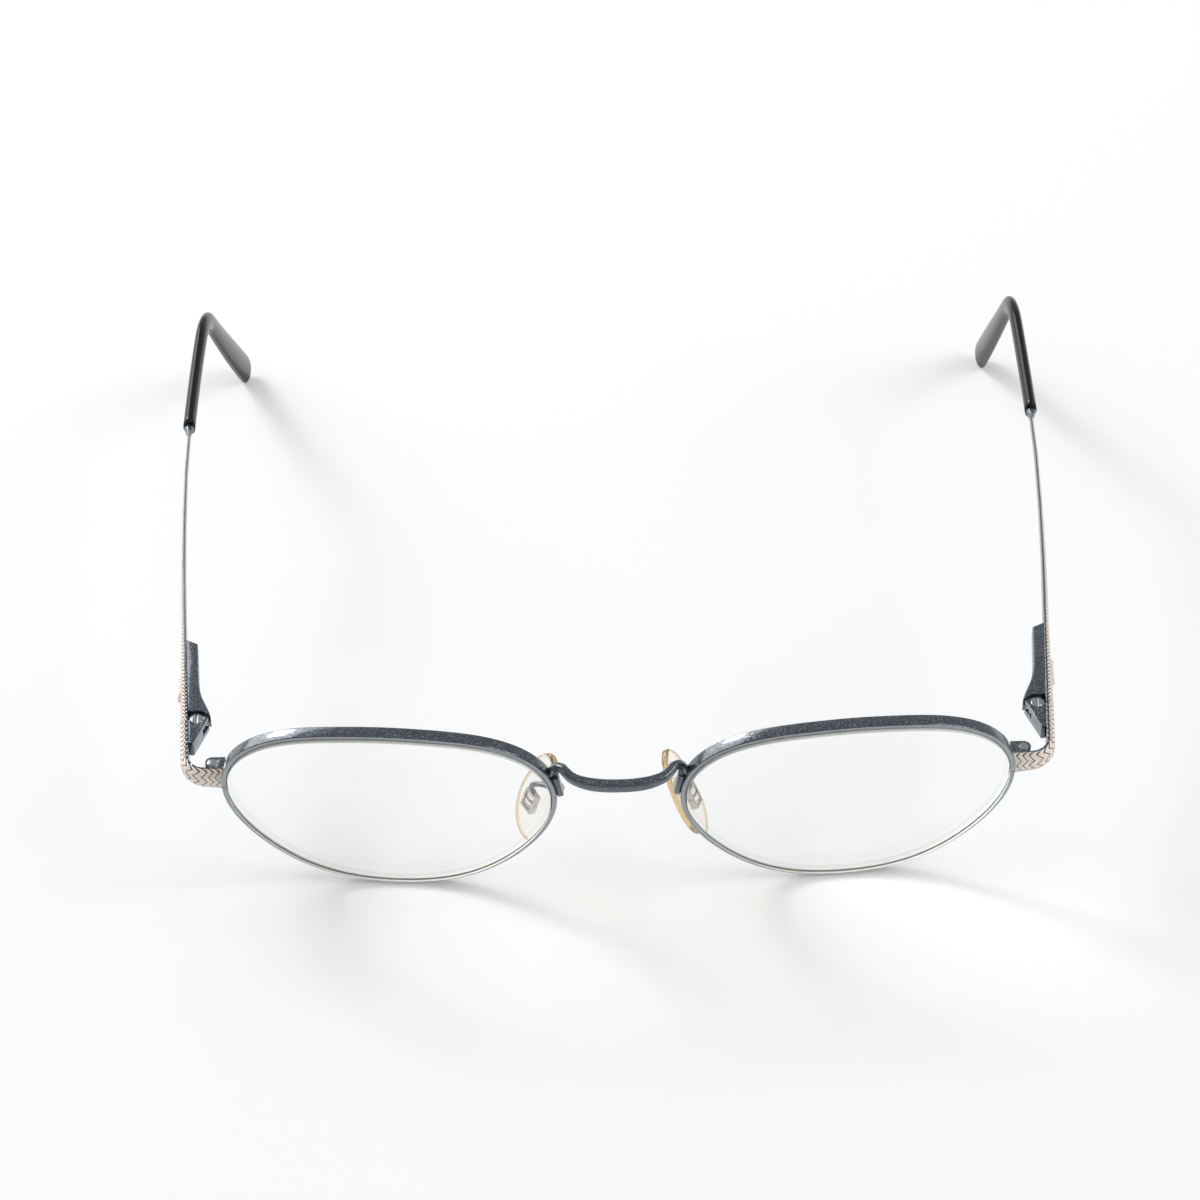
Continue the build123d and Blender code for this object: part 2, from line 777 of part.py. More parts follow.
def tip_sleeve(side):
    """Oval sleeve that swells to a rounded paddle at the ear end."""
    straight = bend_start - sleeve_start
    sections = []
    for distance in ear_distances(0, ear_length):
        share = max(distance - straight, 0) / (ear_length - straight)
        swell = (1 - math.cos(math.pi * share)) / 2
        half_width = sleeve_half_width + (paddle_half_width - sleeve_half_width) * swell
        half_height = sleeve_half_height + (paddle_half_height - sleeve_half_height) * swell
        sections.append(ear_plane(distance, side) * Ellipse(half_width, half_height))
    for angle in range(cap_step, quarter_turn, cap_step):
        turn = math.radians(angle)
        plane = ear_plane(ear_length, side).offset(paddle_end_length * math.sin(turn))
        sections.append(plane * Ellipse(paddle_half_width * math.cos(turn), paddle_half_height * math.cos(turn)))
    bore = ear_wire(core_radius + core_clearance, -overrun, ear_length - core_stop + core_clearance, side)
    return temple_place * (loft(sections, ruled=True) - bore)


def plaque():
    """Plain raised plaque that follows the domed side of the temple strip."""
    planes = (strip_plane(0), strip_plane(flat_run))
    strip = loft(
        [
            dome_section(planes[0], strip_height, strip_flat, strip_dome),
            dome_section(planes[1], taper_heights[0], taper_flat[0], taper_dome[0]),
        ],
        ruled=True,
    )
    cover = loft(
        [
            dome_section(planes[0], strip_height, strip_flat, strip_dome + plaque_proud),
            dome_section(planes[1], taper_heights[0], taper_flat[0], taper_dome[0] + plaque_proud),
        ],
        ruled=True,
    )
    middle = plaque_start + plaque_length / 2
    outline = Plane(origin=(joint_across, middle, 0), x_dir=(0, 1, 0), z_dir=(1, 0, 0))
    outline = outline * SlotOverall(plaque_length, plaque_half_height * 2)
    return temple_place * ((cover & extrude(outline, amount=joint_across)) - strip)


def pad_place(side):
    """Frame of one nose pad: Y points to the nose, Z up along the pad."""
    place = Pos(pad_across[side], pad_back, lens_rise - pad_drop)
    return place * Rot(-pad_lean[side], 0, 0) * Rot(0, -pad_splay[side], 0) * Rot(0, 0, pad_turn[side])


def pad_layer(depth, share):
    """Drop-shaped section of a nose pad at a depth, drawn in by a share."""
    places = []
    for step in range(pad_points):
        angle = math.tau * step / pad_points
        narrow = 1 - pad_narrow_share * math.sin(angle)
        across = pad_width / 2 * math.cos(angle) * narrow
        places.append(Vector(across * share, depth, pad_height / 2 * math.sin(angle) * share))
    return face_through(places)


def nose_pad(side):
    """Drop-shaped cushion with a drilled lug for the pad box."""
    edge = pad_thickness - pad_crown
    layers = [pad_layer(0, pad_back_share), pad_layer(pad_rim_round, 1), pad_layer(edge, 1)]
    for angle in pad_dome_turns:
        turn = math.radians(angle)
        layers.append(pad_layer(edge + pad_crown * math.sin(turn), math.cos(turn)))
    body = loft(layers, ruled=True)
    lug = Pos(0, -lug_height / 2, 0) * Box(lug_half_width * 2, lug_height, lug_half_height * 2)
    bore = post(pad_screw_radius + running_clearance, -pad_width, pad_width)
    hole = Pos(0, -pad_pivot, 0) * Rot(0, quarter_turn, 0) * bore
    return pad_place(side) * (body + lug - hole)


def pad_box(side):
    """Open four-walled box that holds the lug of a nose pad."""
    middle = -box_gap - box_depth / 2
    outer = Pos(0, middle, 0) * Box(box_half_width * 2, box_depth, box_half_height * 2)
    inner = Box((box_half_width - box_wall) * 2, box_depth * 2, (box_half_height - box_wall) * 2)
    outer = fillet(outer.edges().filter_by(Axis.Y), box_corner_round)
    hole = Pos(0, -pad_pivot, 0) * Rot(0, quarter_turn, 0) * post(pad_screw_radius, -pad_width, pad_width)
    return pad_place(side) * (outer - Pos(0, middle, 0) * inner - hole)


def pad_screw(side):
    """Pin screw on which a nose pad rocks in its box."""
    shank = post(pad_screw_radius, -box_half_width, box_half_width)
    head = post(pad_screw_head_radius, box_half_width, box_half_width + pad_screw_head_length)
    return pad_place(side) * Pos(0, -pad_pivot, 0) * Rot(0, quarter_turn, 0) * (shank + head)


def nasal_place(up, offset):
    """Place beside the nasal edge of the rim at a height above the lens centre."""
    turns = [math.pi / 2 + math.pi * step / outline_samples for step in range(outline_samples)]
    turn = min(turns, key=lambda angle: abs(lens_point(angle, offset)[1] - up))
    across, height = lens_point(turn, offset)
    return Vector(*(lens_place * Pos(across, rim_sag(across, height) + foot_back, height)).position)


def pad_arm(side, left_bridge):
    """Arm with a flat foot beside the rim and a wire that runs back to the top of the pad box."""
    high = nasal_place(foot_high, rim_thickness + foot_width / 2)
    low = nasal_place(foot_low, rim_thickness + foot_width / 2)
    down = (low - high).normalized()
    sideways = Vector(1, 0, 0) - down * down.X
    bar = barred_section(Plane(origin=high, x_dir=sideways, z_dir=down), foot_width, foot_depth, foot_chamfer)
    foot = extrude(bar, amount=(low - high).length)
    root = low - down * arm_root_rise
    top = Vector(*(pad_place(side) * Pos(0, -pad_pivot, box_half_height)).position)
    loop = Pos(0, -pad_pivot - arm_loop_back, box_half_height + arm_loop_rise)
    over = Vector(*(pad_place(side) * loop).position)
    turn = Vector(low.X, low.Y + arm_turn_back, low.Z - arm_turn_drop)
    path = Edge.make_spline([root, turn, over, top])
    sections = []
    for step in range(arm_stations + 1):
        direction = path % (step / arm_stations)
        across = Vector(1, 0, 0) - direction * direction.X
        plane = Plane(origin=path @ (step / arm_stations), x_dir=across, z_dir=direction)
        sections.append(plane * RegularPolygon(arm_radius, arm_sides))
    return (foot + loft(sections, ruled=True)) - rim_room - left_bridge - pad_box(side)


def turn_gap():
    """Least gap between one turn of a hinge spring and the next, measured on points of its centre line."""
    places = spring_centres()
    apart = spring_steps // 2
    gaps = [(there - here).length for index, here in enumerate(places) for there in places[index + apart:]]
    return min(gaps) - spring_wire_radius * 2


def pieces():
    """All pieces by name, before they are moved to the shared origin."""
    left_bridge = bridge_half()
    made = {"bridge": left_bridge + mirrored(left_bridge)}
    upper, lower = closing_halves()
    twins = {
        "eyewire": eyewire(),
        "lens": lens(),
        "end_piece": end_piece(),
        "closing_block_upper": upper,
        "closing_block_lower": lower,
        "hinge_block": hinge_block(),
        "hinge_bush": hinge_bush(),
        "hinge_slider": slider(),
        "hinge_spring": spring(),
        "spring_stop": spring_stop(),
        "spring_housing": housing(),
        "plaque": plaque(),
    }
    for name, shape in twins.items():
        made["left_" + name] = shape
        made["right_" + name] = mirrored(shape)
    sides = {
        "temple": temple,
        "tip_sleeve": tip_sleeve,
        "nose_pad": nose_pad,
        "pad_box": pad_box,
    }
    for name, build in sides.items():
        made["left_" + name] = build("left")
        made["right_" + name] = mirrored(build("right"))
    made["left_pad_arm"] = pad_arm("left", left_bridge)
    made["right_pad_arm"] = mirrored(pad_arm("right", left_bridge))
    groups = {
        "closing_screws": (closing_screw(0), closing_screw(0)),
        "hinge_screws": (hinge_screw(), hinge_screw()),
        "pad_screws": (pad_screw("left"), pad_screw("right")),
    }
    for name, (left_one, right_one) in groups.items():
        made[name] = Compound(children=[*left_one.solids(), *mirrored(right_one).solids()])
    return made


def shared_origin(made):
    """Move that puts the origin at the bottom centre of the standing glasses."""
    boxes = [shape.bounding_box() for shape in made.values()]
    front = min(box.min.Y for box in boxes)
    rear = max(box.max.Y for box in boxes)
    low = min(box.min.Z for box in boxes)
    return Pos(0, -(front + rear) / 2, -low)


def tell(name, place, direction=None):
    """Print a place in metres, and a direction, for the record."""
    where = Vector(*place.position) / 1000
    words = [name, round(where.X, 6), round(where.Y, 6), round(where.Z, 6)]
    if direction is not None:
        words += [round(direction.X, 6), round(direction.Y, 6), round(direction.Z, 6)]
    print(*words)


if __name__ == "__main__":
    os.makedirs("parts", exist_ok=True)
    made = pieces()
    move = shared_origin(made)
    for name, shape in made.items():
        export_step(move * shape, "parts/" + name + ".step")
    print("move", move.position)
    print("spring turn gap", round(turn_gap(), 3))
    tell("left hinge axis", move * hinge_place, Plane(move * hinge_place).z_dir)
    tell("left housing travel", move * housing_place, Plane(move * housing_place).y_dir)
    for side in ("left", "right"):
        pivot = move * pad_place(side) * Pos(0, -pad_pivot, 0)
        tell(side + " pad pivot, right one not mirrored yet", pivot, Plane(pivot).x_dir)
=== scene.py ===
"""Oval wire eyeglasses with spring hinges, standing open on a pale table."""
import json
import logging
import math
from dataclasses import dataclass, field
from enum import Enum
from typing import Callable, Sequence

import bmesh
import bpy
from mathutils import Matrix, Vector

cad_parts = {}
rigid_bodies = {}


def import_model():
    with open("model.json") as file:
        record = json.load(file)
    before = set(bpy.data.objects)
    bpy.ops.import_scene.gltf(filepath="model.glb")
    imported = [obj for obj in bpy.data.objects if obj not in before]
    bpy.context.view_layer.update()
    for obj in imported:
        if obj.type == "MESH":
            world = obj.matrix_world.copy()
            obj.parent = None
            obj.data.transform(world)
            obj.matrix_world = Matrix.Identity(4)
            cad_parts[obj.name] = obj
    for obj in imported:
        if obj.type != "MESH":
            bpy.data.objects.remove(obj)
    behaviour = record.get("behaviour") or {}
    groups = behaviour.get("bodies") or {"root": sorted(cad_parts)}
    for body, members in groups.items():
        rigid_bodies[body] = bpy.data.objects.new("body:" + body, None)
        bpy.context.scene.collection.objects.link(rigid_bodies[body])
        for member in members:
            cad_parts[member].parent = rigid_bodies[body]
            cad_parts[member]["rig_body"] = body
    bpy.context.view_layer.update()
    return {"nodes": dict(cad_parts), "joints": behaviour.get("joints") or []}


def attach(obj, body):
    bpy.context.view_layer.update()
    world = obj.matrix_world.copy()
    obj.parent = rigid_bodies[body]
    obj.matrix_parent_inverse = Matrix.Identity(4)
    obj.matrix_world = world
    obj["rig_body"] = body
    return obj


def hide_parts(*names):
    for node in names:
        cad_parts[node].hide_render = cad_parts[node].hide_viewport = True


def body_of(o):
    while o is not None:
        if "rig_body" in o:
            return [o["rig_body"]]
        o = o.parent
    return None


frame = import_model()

MM = 0.001
BEVEL_KIND = {"affect": "EDGES", "profile": 0.5, "material": -1}
GROOVE = "groove"

logging.basicConfig(level=logging.INFO, format="%(name)s: %(message)s")
log = logging.getLogger("glasses")

Station = tuple[Matrix, list[tuple[float, float]]]
Row = list[bmesh.types.BMVert]
Rows = list[Row]


class Side(Enum):
    """The wearer's side of a piece."""

    LEFT = "left"
    RIGHT = "right"

    @property
    def mirror(self) -> Matrix:
        """Turns a piece drawn on the left into this side's piece."""
        return Matrix.Identity(4) if self is Side.LEFT else Matrix.Scale(-1, 4, (1, 0, 0))

    def named(self, name: str) -> str:
        """The piece's name with the side in front."""
        return f"{self.value}_{name}"


def linear(code: str) -> tuple[float, float, float, float]:
    """Turn an sRGB hex colour into the linear values that a shader reads.

    Args:
        code: Colour such as "#8090a0".

    Returns:
        Red, green, blue and an opaque alpha.
    """
    parts = [int(code[start:start + 2], 16) / 255 for start in (1, 3, 5)]
    return tuple(p / 12.92 if p <= 0.04045 else ((p + 0.055) / 1.055) ** 2.4 for p in parts) + (1.0,)


class Shader:
    """One material under construction, with its nodes and links."""

    def __init__(self, name: str) -> None:
        """Start an empty material with its output.

        Args:
            name: What the material is called.
        """
        self.material = bpy.data.materials.new(name)
        self.material.use_nodes = True
        self.tree = self.material.node_tree
        self.tree.nodes.clear()
        self.output = self.add("ShaderNodeOutputMaterial")

    def add(self, kind: str, links: dict | None = None, **settings: object) -> bpy.types.Node:
        """Add a node, set its properties or sockets and link what feeds it.

        Args:
            kind: Node type.
            links: Input socket name or number to the output socket that feeds it.
            settings: Properties of the node, or with words joined by underscores its input values.

        Returns:
            The new node.
        """
        node = self.tree.nodes.new(kind)
        for name, value in settings.items():
            if name in node.bl_rna.properties:
                setattr(node, name, value)
            else:
                node.inputs[name.replace("_", " ")].default_value = value
        for name, source in (links or {}).items():
            self.tree.links.new(source, node.inputs[name])
        return node

    def surface(self, node: bpy.types.Node) -> bpy.types.Material:
        """Finish the material with this node's first output."""
        self.tree.links.new(node.outputs[0], self.output.inputs["Surface"])
        return self.material

    def grain(self, size: float, **settings: object) -> bpy.types.Node:
        """Add a noise pattern whose grains have a real size in millimetres."""
        place = self.add("ShaderNodeTexCoord")
        return self.add("ShaderNodeTexNoise", {"Vector": place.outputs["Object"]}, Scale=1 / (size * MM), **settings)

    def ramp(self, source: bpy.types.NodeSocket, stops: Sequence[tuple[float, str]]) -> bpy.types.NodeSocket:
        """Turn a value into a colour through named stops.

        Args:
            source: The value.
            stops: Places from 0 to 1, each with its sRGB hex colour.

        Returns:
            The colour output.
        """
        node = self.add("ShaderNodeValToRGB", {"Fac": source})
        marks = node.color_ramp.elements
        while len(marks) < len(stops):
            marks.new(0.5)
        for mark, (place, code) in zip(marks, stops):
            mark.position = place
            mark.color = linear(code)
        return node.outputs["Color"]


@dataclass(frozen=True)
class FlakeEnamel:
    """Baked gunmetal enamel with fine pearl flakes, sprayed on nickel silver.

    The flakes give the eye a fine bright speckle, and the clear top layer a soft gloss.
    """

    name: str = "gunmetal_flake_enamel"
    dark: str = "#1f282f"
    body: str = "#3c4852"
    flake: str = "#808e9a"
    flake_size: float = 0.14
    roughness: float = 0.26

    def build(self) -> bpy.types.Material:
        """Make the material. Real flakes are finer, and are drawn as coarse as the picture can show.

        Returns:
            The material.
        """
        shader = Shader(self.name)
        place = shader.add("ShaderNodeTexCoord")
        flakes = {"Vector": place.outputs["Object"]}
        cells = shader.add("ShaderNodeTexVoronoi", flakes, Scale=1 / self.flake_size / MM)
        tone = shader.add("ShaderNodeSeparateColor", {"Color": cells.outputs["Color"]})
        colour = shader.ramp(tone.outputs["Red"], ((0.0, self.dark), (0.7, self.body), (1.0, self.flake)))
        bump = shader.add("ShaderNodeBump", {"Height": tone.outputs["Green"]}, Strength=0.2, Distance=0.01 * MM)
        paint = shader.add(
            "ShaderNodeBsdfPrincipled", {"Base Color": colour, "Normal": bump.outputs["Normal"]}, Metallic=0.6,
            Roughness=self.roughness, Coat_Weight=1.0, Coat_IOR=1.75, Coat_Roughness=0.1,
        )
        return shader.surface(paint)


@dataclass(frozen=True)
class EngravedPlate:
    """Antique rose-copper plating, stamped with a zigzag and darkened in the grooves.

    Handling keeps the raised bands bright and satin, while the grooves stay brown.
    The amount of groove at a point is kept in the piece's own attribute.
    """

    name: str = "antique_rose_copper"
    groove: str = "#46331f"
    band: str = "#fbe8da"
    worn: str = "#fff7ee"
    tarnish_size: float = 0.8
    roughness: float = 0.38

    def build(self) -> bpy.types.Material:
        """Make the material.

        Returns:
            The material.
        """
        shader = Shader(self.name)
        mark = shader.add("ShaderNodeAttribute", attribute_name=GROOVE)
        cloud = shader.grain(self.tarnish_size, Detail=4.0)
        band = shader.ramp(cloud.outputs["Fac"], ((0.35, self.band), (0.65, self.worn)))
        depth = shader.ramp(mark.outputs["Fac"], ((0.12, "#000000"), (0.55, "#ffffff")))
        mixed = shader.add("ShaderNodeMix", {0: depth, 6: band}, data_type="RGBA")
        mixed.inputs[7].default_value = linear(self.groove)
        links = {"Base Color": mixed.outputs[2]}
        return shader.surface(
            shader.add("ShaderNodeBsdfPrincipled", links, Metallic=0.1, Roughness=self.roughness)
        )


@dataclass(frozen=True)
class Metal:
    """Plain metal with a fine surface grain: plated, turned or polished."""

    name: str
    colour: str
    dull: str
    roughness: float
    grain_size: float
    bump: float = 0.1

    def build(self) -> bpy.types.Material:
        """Make the material.

        Returns:
            The material.
        """
        shader = Shader(self.name)
        grain = shader.grain(self.grain_size, Detail=3.0)
        colour = shader.ramp(grain.outputs["Fac"], ((0.3, self.dull), (0.7, self.colour)))
        bump = shader.add("ShaderNodeBump", {"Height": grain.outputs["Fac"]}, Strength=self.bump, Distance=0.01 * MM)
        links = {"Base Color": colour, "Normal": bump.outputs["Normal"]}
        return shader.surface(
            shader.add("ShaderNodeBsdfPrincipled", links, Metallic=1.0, Roughness=self.roughness)
        )


@dataclass(frozen=True)
class ClearPlastic:
    """Clear moulded or polished plastic, seen by its reflections and its tinted edges.

    Lamps shine through it, so that it throws hardly any shadow on the table.
    """

    name: str = "polished_organic_lens"
    pale: str = "#ffffff"
    deep: str = "#fefffe"
    rim: str = "#ffffff"
    cloud_size: float = 4.0
    roughness: float = 0.0
    ior: float = 1.5
    gloss: float = 0.12
    shade: str = "#ffffff"
    clearness: float = 1.0
    edge_start: float = 0.75

    def build(self) -> bpy.types.Material:
        """Make the material.

        Returns:
            The material.
        """
        shader = Shader(self.name)
        cloud = shader.grain(self.cloud_size, Detail=2.0)
        body = shader.ramp(cloud.outputs["Fac"], ((0.3, self.deep), (0.7, self.pale)))
        facing = shader.add("ShaderNodeLayerWeight", Blend=0.5)
        edge = shader.ramp(facing.outputs["Facing"], ((self.edge_start, "#000000"), (1.0, "#ffffff")))
        colour = shader.add("ShaderNodeMix", {0: edge, 6: body}, data_type="RGBA")
        colour.inputs[7].default_value = linear(self.rim)
        glass = shader.add(
            "ShaderNodeBsdfPrincipled", {"Base Color": colour.outputs[2]}, Roughness=self.roughness, IOR=self.ior,
            Specular_IOR_Level=self.gloss, Transmission_Weight=self.clearness,
        )
        clear = shader.add("ShaderNodeBsdfTransparent")
        clear.inputs["Color"].default_value = linear(self.shade)
        ray = shader.add("ShaderNodeLightPath")
        links = {0: ray.outputs["Is Shadow Ray"], 1: glass.outputs[0], 2: clear.outputs[0]}
        return shader.surface(shader.add("ShaderNodeMixShader", links))


@dataclass(frozen=True)
class GroundEdge:
    """Ground edge of a lens, matt and milky; a darker copy paints the shade on the bevel deep in the rim's groove.
    """

    name: str
    pale: str
    cream: str

    def build(self) -> bpy.types.Material:
        """Make the material.

        Returns:
            The material.
        """
        shader = Shader(self.name)
        haze = shader.grain(1.5, Detail=2.0)
        colour = shader.ramp(haze.outputs["Fac"], ((0.3, self.cream), (0.7, self.pale)))
        matt = shader.add(
            "ShaderNodeBsdfPrincipled", {"Base Color": colour}, Roughness=0.6, IOR=1.5, Subsurface_Weight=0.3,
            Subsurface_Scale=0.5 * MM,
        )
        return shader.surface(matt)


@dataclass(frozen=True)
class BlackSleeve:
    """Black cellulose acetate, tumbled to a gloss, with faint polishing waves."""

    name: str = "polished_black_acetate"
    black: str = "#030506"
    lift: str = "#0b0e11"
    roughness: float = 0.16

    def build(self) -> bpy.types.Material:
        """Make the material.

        Returns:
            The material.
        """
        shader = Shader(self.name)
        cloud = shader.grain(3.0, Detail=3.0)
        colour = shader.ramp(cloud.outputs["Fac"], ((0.3, self.black), (0.8, self.lift)))
        bump = shader.add("ShaderNodeBump", {"Height": cloud.outputs["Fac"]}, Strength=0.1, Distance=0.05 * MM)
        gloss = shader.add(
            "ShaderNodeBsdfPrincipled", {"Base Color": colour, "Normal": bump.outputs["Normal"]},
            Roughness=self.roughness, IOR=1.5, Specular_IOR_Level=0.35,
        )
        return shader.surface(gloss)


@dataclass(frozen=True)
class TableTop:
    """Matt white board under the glasses.

    Seen by the camera or through glass it is a little brighter than it lights them.
    """

    name: str = "white_board"
    colour: str = "#e4e5e6"
    lift: float = 0.195

    def build(self) -> bpy.types.Material:
        """Make the material.

        Returns:
            The material.
        """
        shader = Shader(self.name)
        matt = shader.add("ShaderNodeBsdfDiffuse")
        matt.inputs["Color"].default_value = linear(self.colour)
        ray = shader.add("ShaderNodeLightPath")
        rays = {0: ray.outputs["Is Camera Ray"], 1: ray.outputs["Is Transmission Ray"]}
        seen = shader.add("ShaderNodeMath", rays, operation="MAXIMUM")
        power = shader.add("ShaderNodeMath", {0: seen.outputs[0]}, operation="MULTIPLY")
        power.inputs[1].default_value = self.lift
        glow = shader.add("ShaderNodeEmission", {"Strength": power.outputs[0]})
        return shader.surface(shader.add("ShaderNodeAddShader", {0: matt.outputs[0], 1: glow.outputs[0]}))


class Finishes:
    """All finishes, each built once."""

    def __init__(self) -> None:
        """Build the materials."""
        self.enamel = FlakeEnamel().build()
        self.face = Metal("worn_satin_face", "#b4babe", "#a4abb0", 0.38, 0.4).build()
        self.copper = EngravedPlate().build()
        self.polish = Metal("polished_enamel_slant", "#aab3b9", "#8f9aa2", 0.16, 0.25).build()
        self.screw = Metal("turned_steel", "#cfd2d4", "#8f9498", 0.24, 0.12).build()
        self.plate = Metal("silver_plate", "#e2e1dc", "#c0bdb4", 0.26, 0.3).build()
        self.steel = Metal("spring_steel", "#a8abad", "#84888b", 0.3, 0.2).build()
        self.clear = ClearPlastic().build()
        self.edge = GroundEdge("ground_lens_edge", "#ffffff", "#f7f4e8").build()
        # Darker grey-green copy for the bevel in the rim's groove: the edge's own green tint, darkened as painted
        # shade.
        self.bevel = GroundEdge("groove_bevel_painted_shade", "#8f968c", "#7d857c").build()
        self.pad = ClearPlastic(
            "aged_clear_pad", deep="#fffaf0", rim="#f2c079", shade="#fdf6ea", cloud_size=2.5, roughness=0.05,
            ior=1.3, gloss=0.6, clearness=0.95,
        ).build()
        self.pad_edge = ClearPlastic(
            "amber_pad_edge", pale="#fae2b8", deep="#f6d49c", rim="#e6ac5c", shade="#f8e3c0", cloud_size=1.5,
            roughness=0.08, ior=1.3, gloss=0.5, clearness=0.82, edge_start=0.5,
        ).build()
        self.sleeve = BlackSleeve().build()


class Piece:
    """A mesh being modelled in millimetres, then placed in the frame in metres."""

    def __init__(self, name: str) -> None:
        """Start an empty mesh."""
        self.name = name
        self.bm = bmesh.new()

    def ring(self, station: Station) -> Row:
        """Make the first section of a loft.

        Args:
            station: Place of the section and its points.

        Returns:
            The section's vertices in order.
        """
        verts = bmesh.ops.create_circle(self.bm, segments=len(station[1]), radius=1)["verts"]
        put_ring(verts, station)
        return verts

    def grow(self, verts: Row, station: Station) -> Row:
        """Extrude a section's edges to the next station.

        Args:
            verts: The last section.
            station: Place and points of the next one.

        Returns:
            The new section's vertices in the same order.
        """
        made = bmesh.ops.extrude_edge_only(self.bm, edges=ring_edges(verts))
        fresh = {item for item in made["geom"] if isinstance(item, bmesh.types.BMVert)}
        ahead = []
        for vert in verts:
            ahead.append(next(edge.other_vert(vert) for edge in vert.link_edges if edge.other_vert(vert) in fresh))
        put_ring(ahead, station)
        return ahead

    def close(self, rows: Rows) -> None:
        """Close the two ends of a loft with faces."""
        for row in (rows[0], rows[-1]):
            bmesh.ops.contextual_create(self.bm, geom=ring_edges(row))

    def loft(self, stations: Sequence[Station]) -> Rows:
        """Run a skin through the stations and close its ends.

        Args:
            stations: Sections in order.

        Returns:
            Every section's vertices.
        """
        rows = [self.ring(stations[0])]
        for station in stations[1:]:
            rows.append(self.grow(rows[-1], station))
        self.close(rows)
        return rows

    def finish(
        self, place: Matrix, materials: Sequence[bpy.types.Material], smooth: float = 35.0
    ) -> bpy.types.Object:
        """Place the mesh in the frame and make its object.

        Args:
            place: From the piece's own millimetres to the frame's millimetres.
            materials: Materials in the order of their numbers.
            smooth: Angle in degrees up to which edges are shaded round.

        Returns:
            The object, at the origin.
        """
        bmesh.ops.transform(self.bm, matrix=Matrix.Scale(MM, 4) @ place, verts=self.bm.verts)
        bmesh.ops.recalc_face_normals(self.bm, faces=self.bm.faces)
        mesh = bpy.data.meshes.new(self.name)
        self.bm.to_mesh(mesh)
        self.bm.free()
        obj = in_scene(self.name, mesh)
        for material in materials:
            mesh.materials.append(material)
        mesh.shade_smooth()
        mesh.set_sharp_from_angle(angle=math.radians(smooth))
        return obj


def in_scene(name: str, data: bpy.types.ID) -> bpy.types.Object:
    """Make an object and link it to the scene.

    Args:
        name: What the object is.
        data: Its mesh, lamp or camera.

    Returns:
        The object.
    """
    obj = bpy.data.objects.new(name, data)
    bpy.context.scene.collection.objects.link(obj)
    return obj


def stand_for(obj: bpy.types.Object, node: str, body: str) -> None:
    """Let a piece stand for a CAD node, and report it.

    Args:
        obj: The piece.
        node: CAD node that it replaces.
        body: Body that it rides on.
    """
    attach(obj, body)
    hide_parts(node)
    log.info("%s stands for %s with %d faces", obj.name, node, len(obj.data.polygons))


def put_ring(verts: Row, station: Station) -> None:
    """Move a ring to a station.

    Args:
        verts: The ring's vertices in order.
        station: Place and points of the section.
    """
    place, points = station
    for vert, point in zip(verts, points):
        vert.co = place @ Vector((point[0], point[1], 0.0))


def ring_edges(verts: Row) -> list[bmesh.types.BMEdge]:
    """Edges that join the vertices of one ring."""
    ring = set(verts)
    return list(dict.fromkeys(edge for vert in verts for edge in vert.link_edges if edge.other_vert(vert) in ring))


def section_place(origin: Vector, along: Vector, across: Vector) -> Matrix:
    """Frame of a section.

    Args:
        origin: Middle of the section.
        along: Way of the run, which becomes local Z.
        across: Rough way across it, which becomes local X.

    Returns:
        The frame.
    """
    z_axis = along.normalized()
    x_axis = (across - z_axis * across.dot(z_axis)).normalized()
    y_axis = z_axis.cross(x_axis)
    return Matrix.Translation(origin) @ Matrix((x_axis, y_axis, z_axis)).transposed().to_4x4()


def oval(half_width: float, half_height: float, count: int) -> list[tuple[float, float]]:
    """Points round an ellipse."""
    turns = [math.tau * step / count for step in range(count)]
    return [(half_width * math.cos(turn), half_height * math.sin(turn)) for turn in turns]


def turned(degrees: float, axis: str) -> Matrix:
    """Turn about an axis by degrees."""
    return Matrix.Rotation(math.radians(degrees), 4, axis)


@dataclass
class Stance:
    """How the glasses stand: the places that all pieces hang from, in millimetres."""

    lens_lean: float = 13.6
    face_wrap: float = 4.1
    hinge_back: float = 15.36
    hinge_rise: float = 5.3
    lens_width: float = 47.0
    lens_gap: float = 19.7
    housing_splay: float = 5.0

    def __post_init__(self) -> None:
        """Read the hinge axis from the frame and work out the shared places."""
        fold = next(joint for joint in frame["joints"] if joint["name"] == "left_fold")
        pivot = Vector(fold["pos_m"]) / MM
        axis = Vector(fold["axis"])
        self.pitch = math.atan2(-axis.y, axis.z)
        self.rise = pivot.z - self.hinge_rise
        self.front_shift = pivot.y - self.hinge_back
        across = self.lens_gap / 2 + self.lens_width / 2 * math.cos(math.radians(self.face_wrap))
        middle = Matrix.Translation((across, self.front_shift, self.rise))
        self.lens = middle @ turned(self.lens_lean, "X") @ turned(self.face_wrap, "Z")
        self.temple = Matrix.Translation((0, pivot.y, pivot.z)) @ Matrix.Rotation(self.pitch, 4, "X")


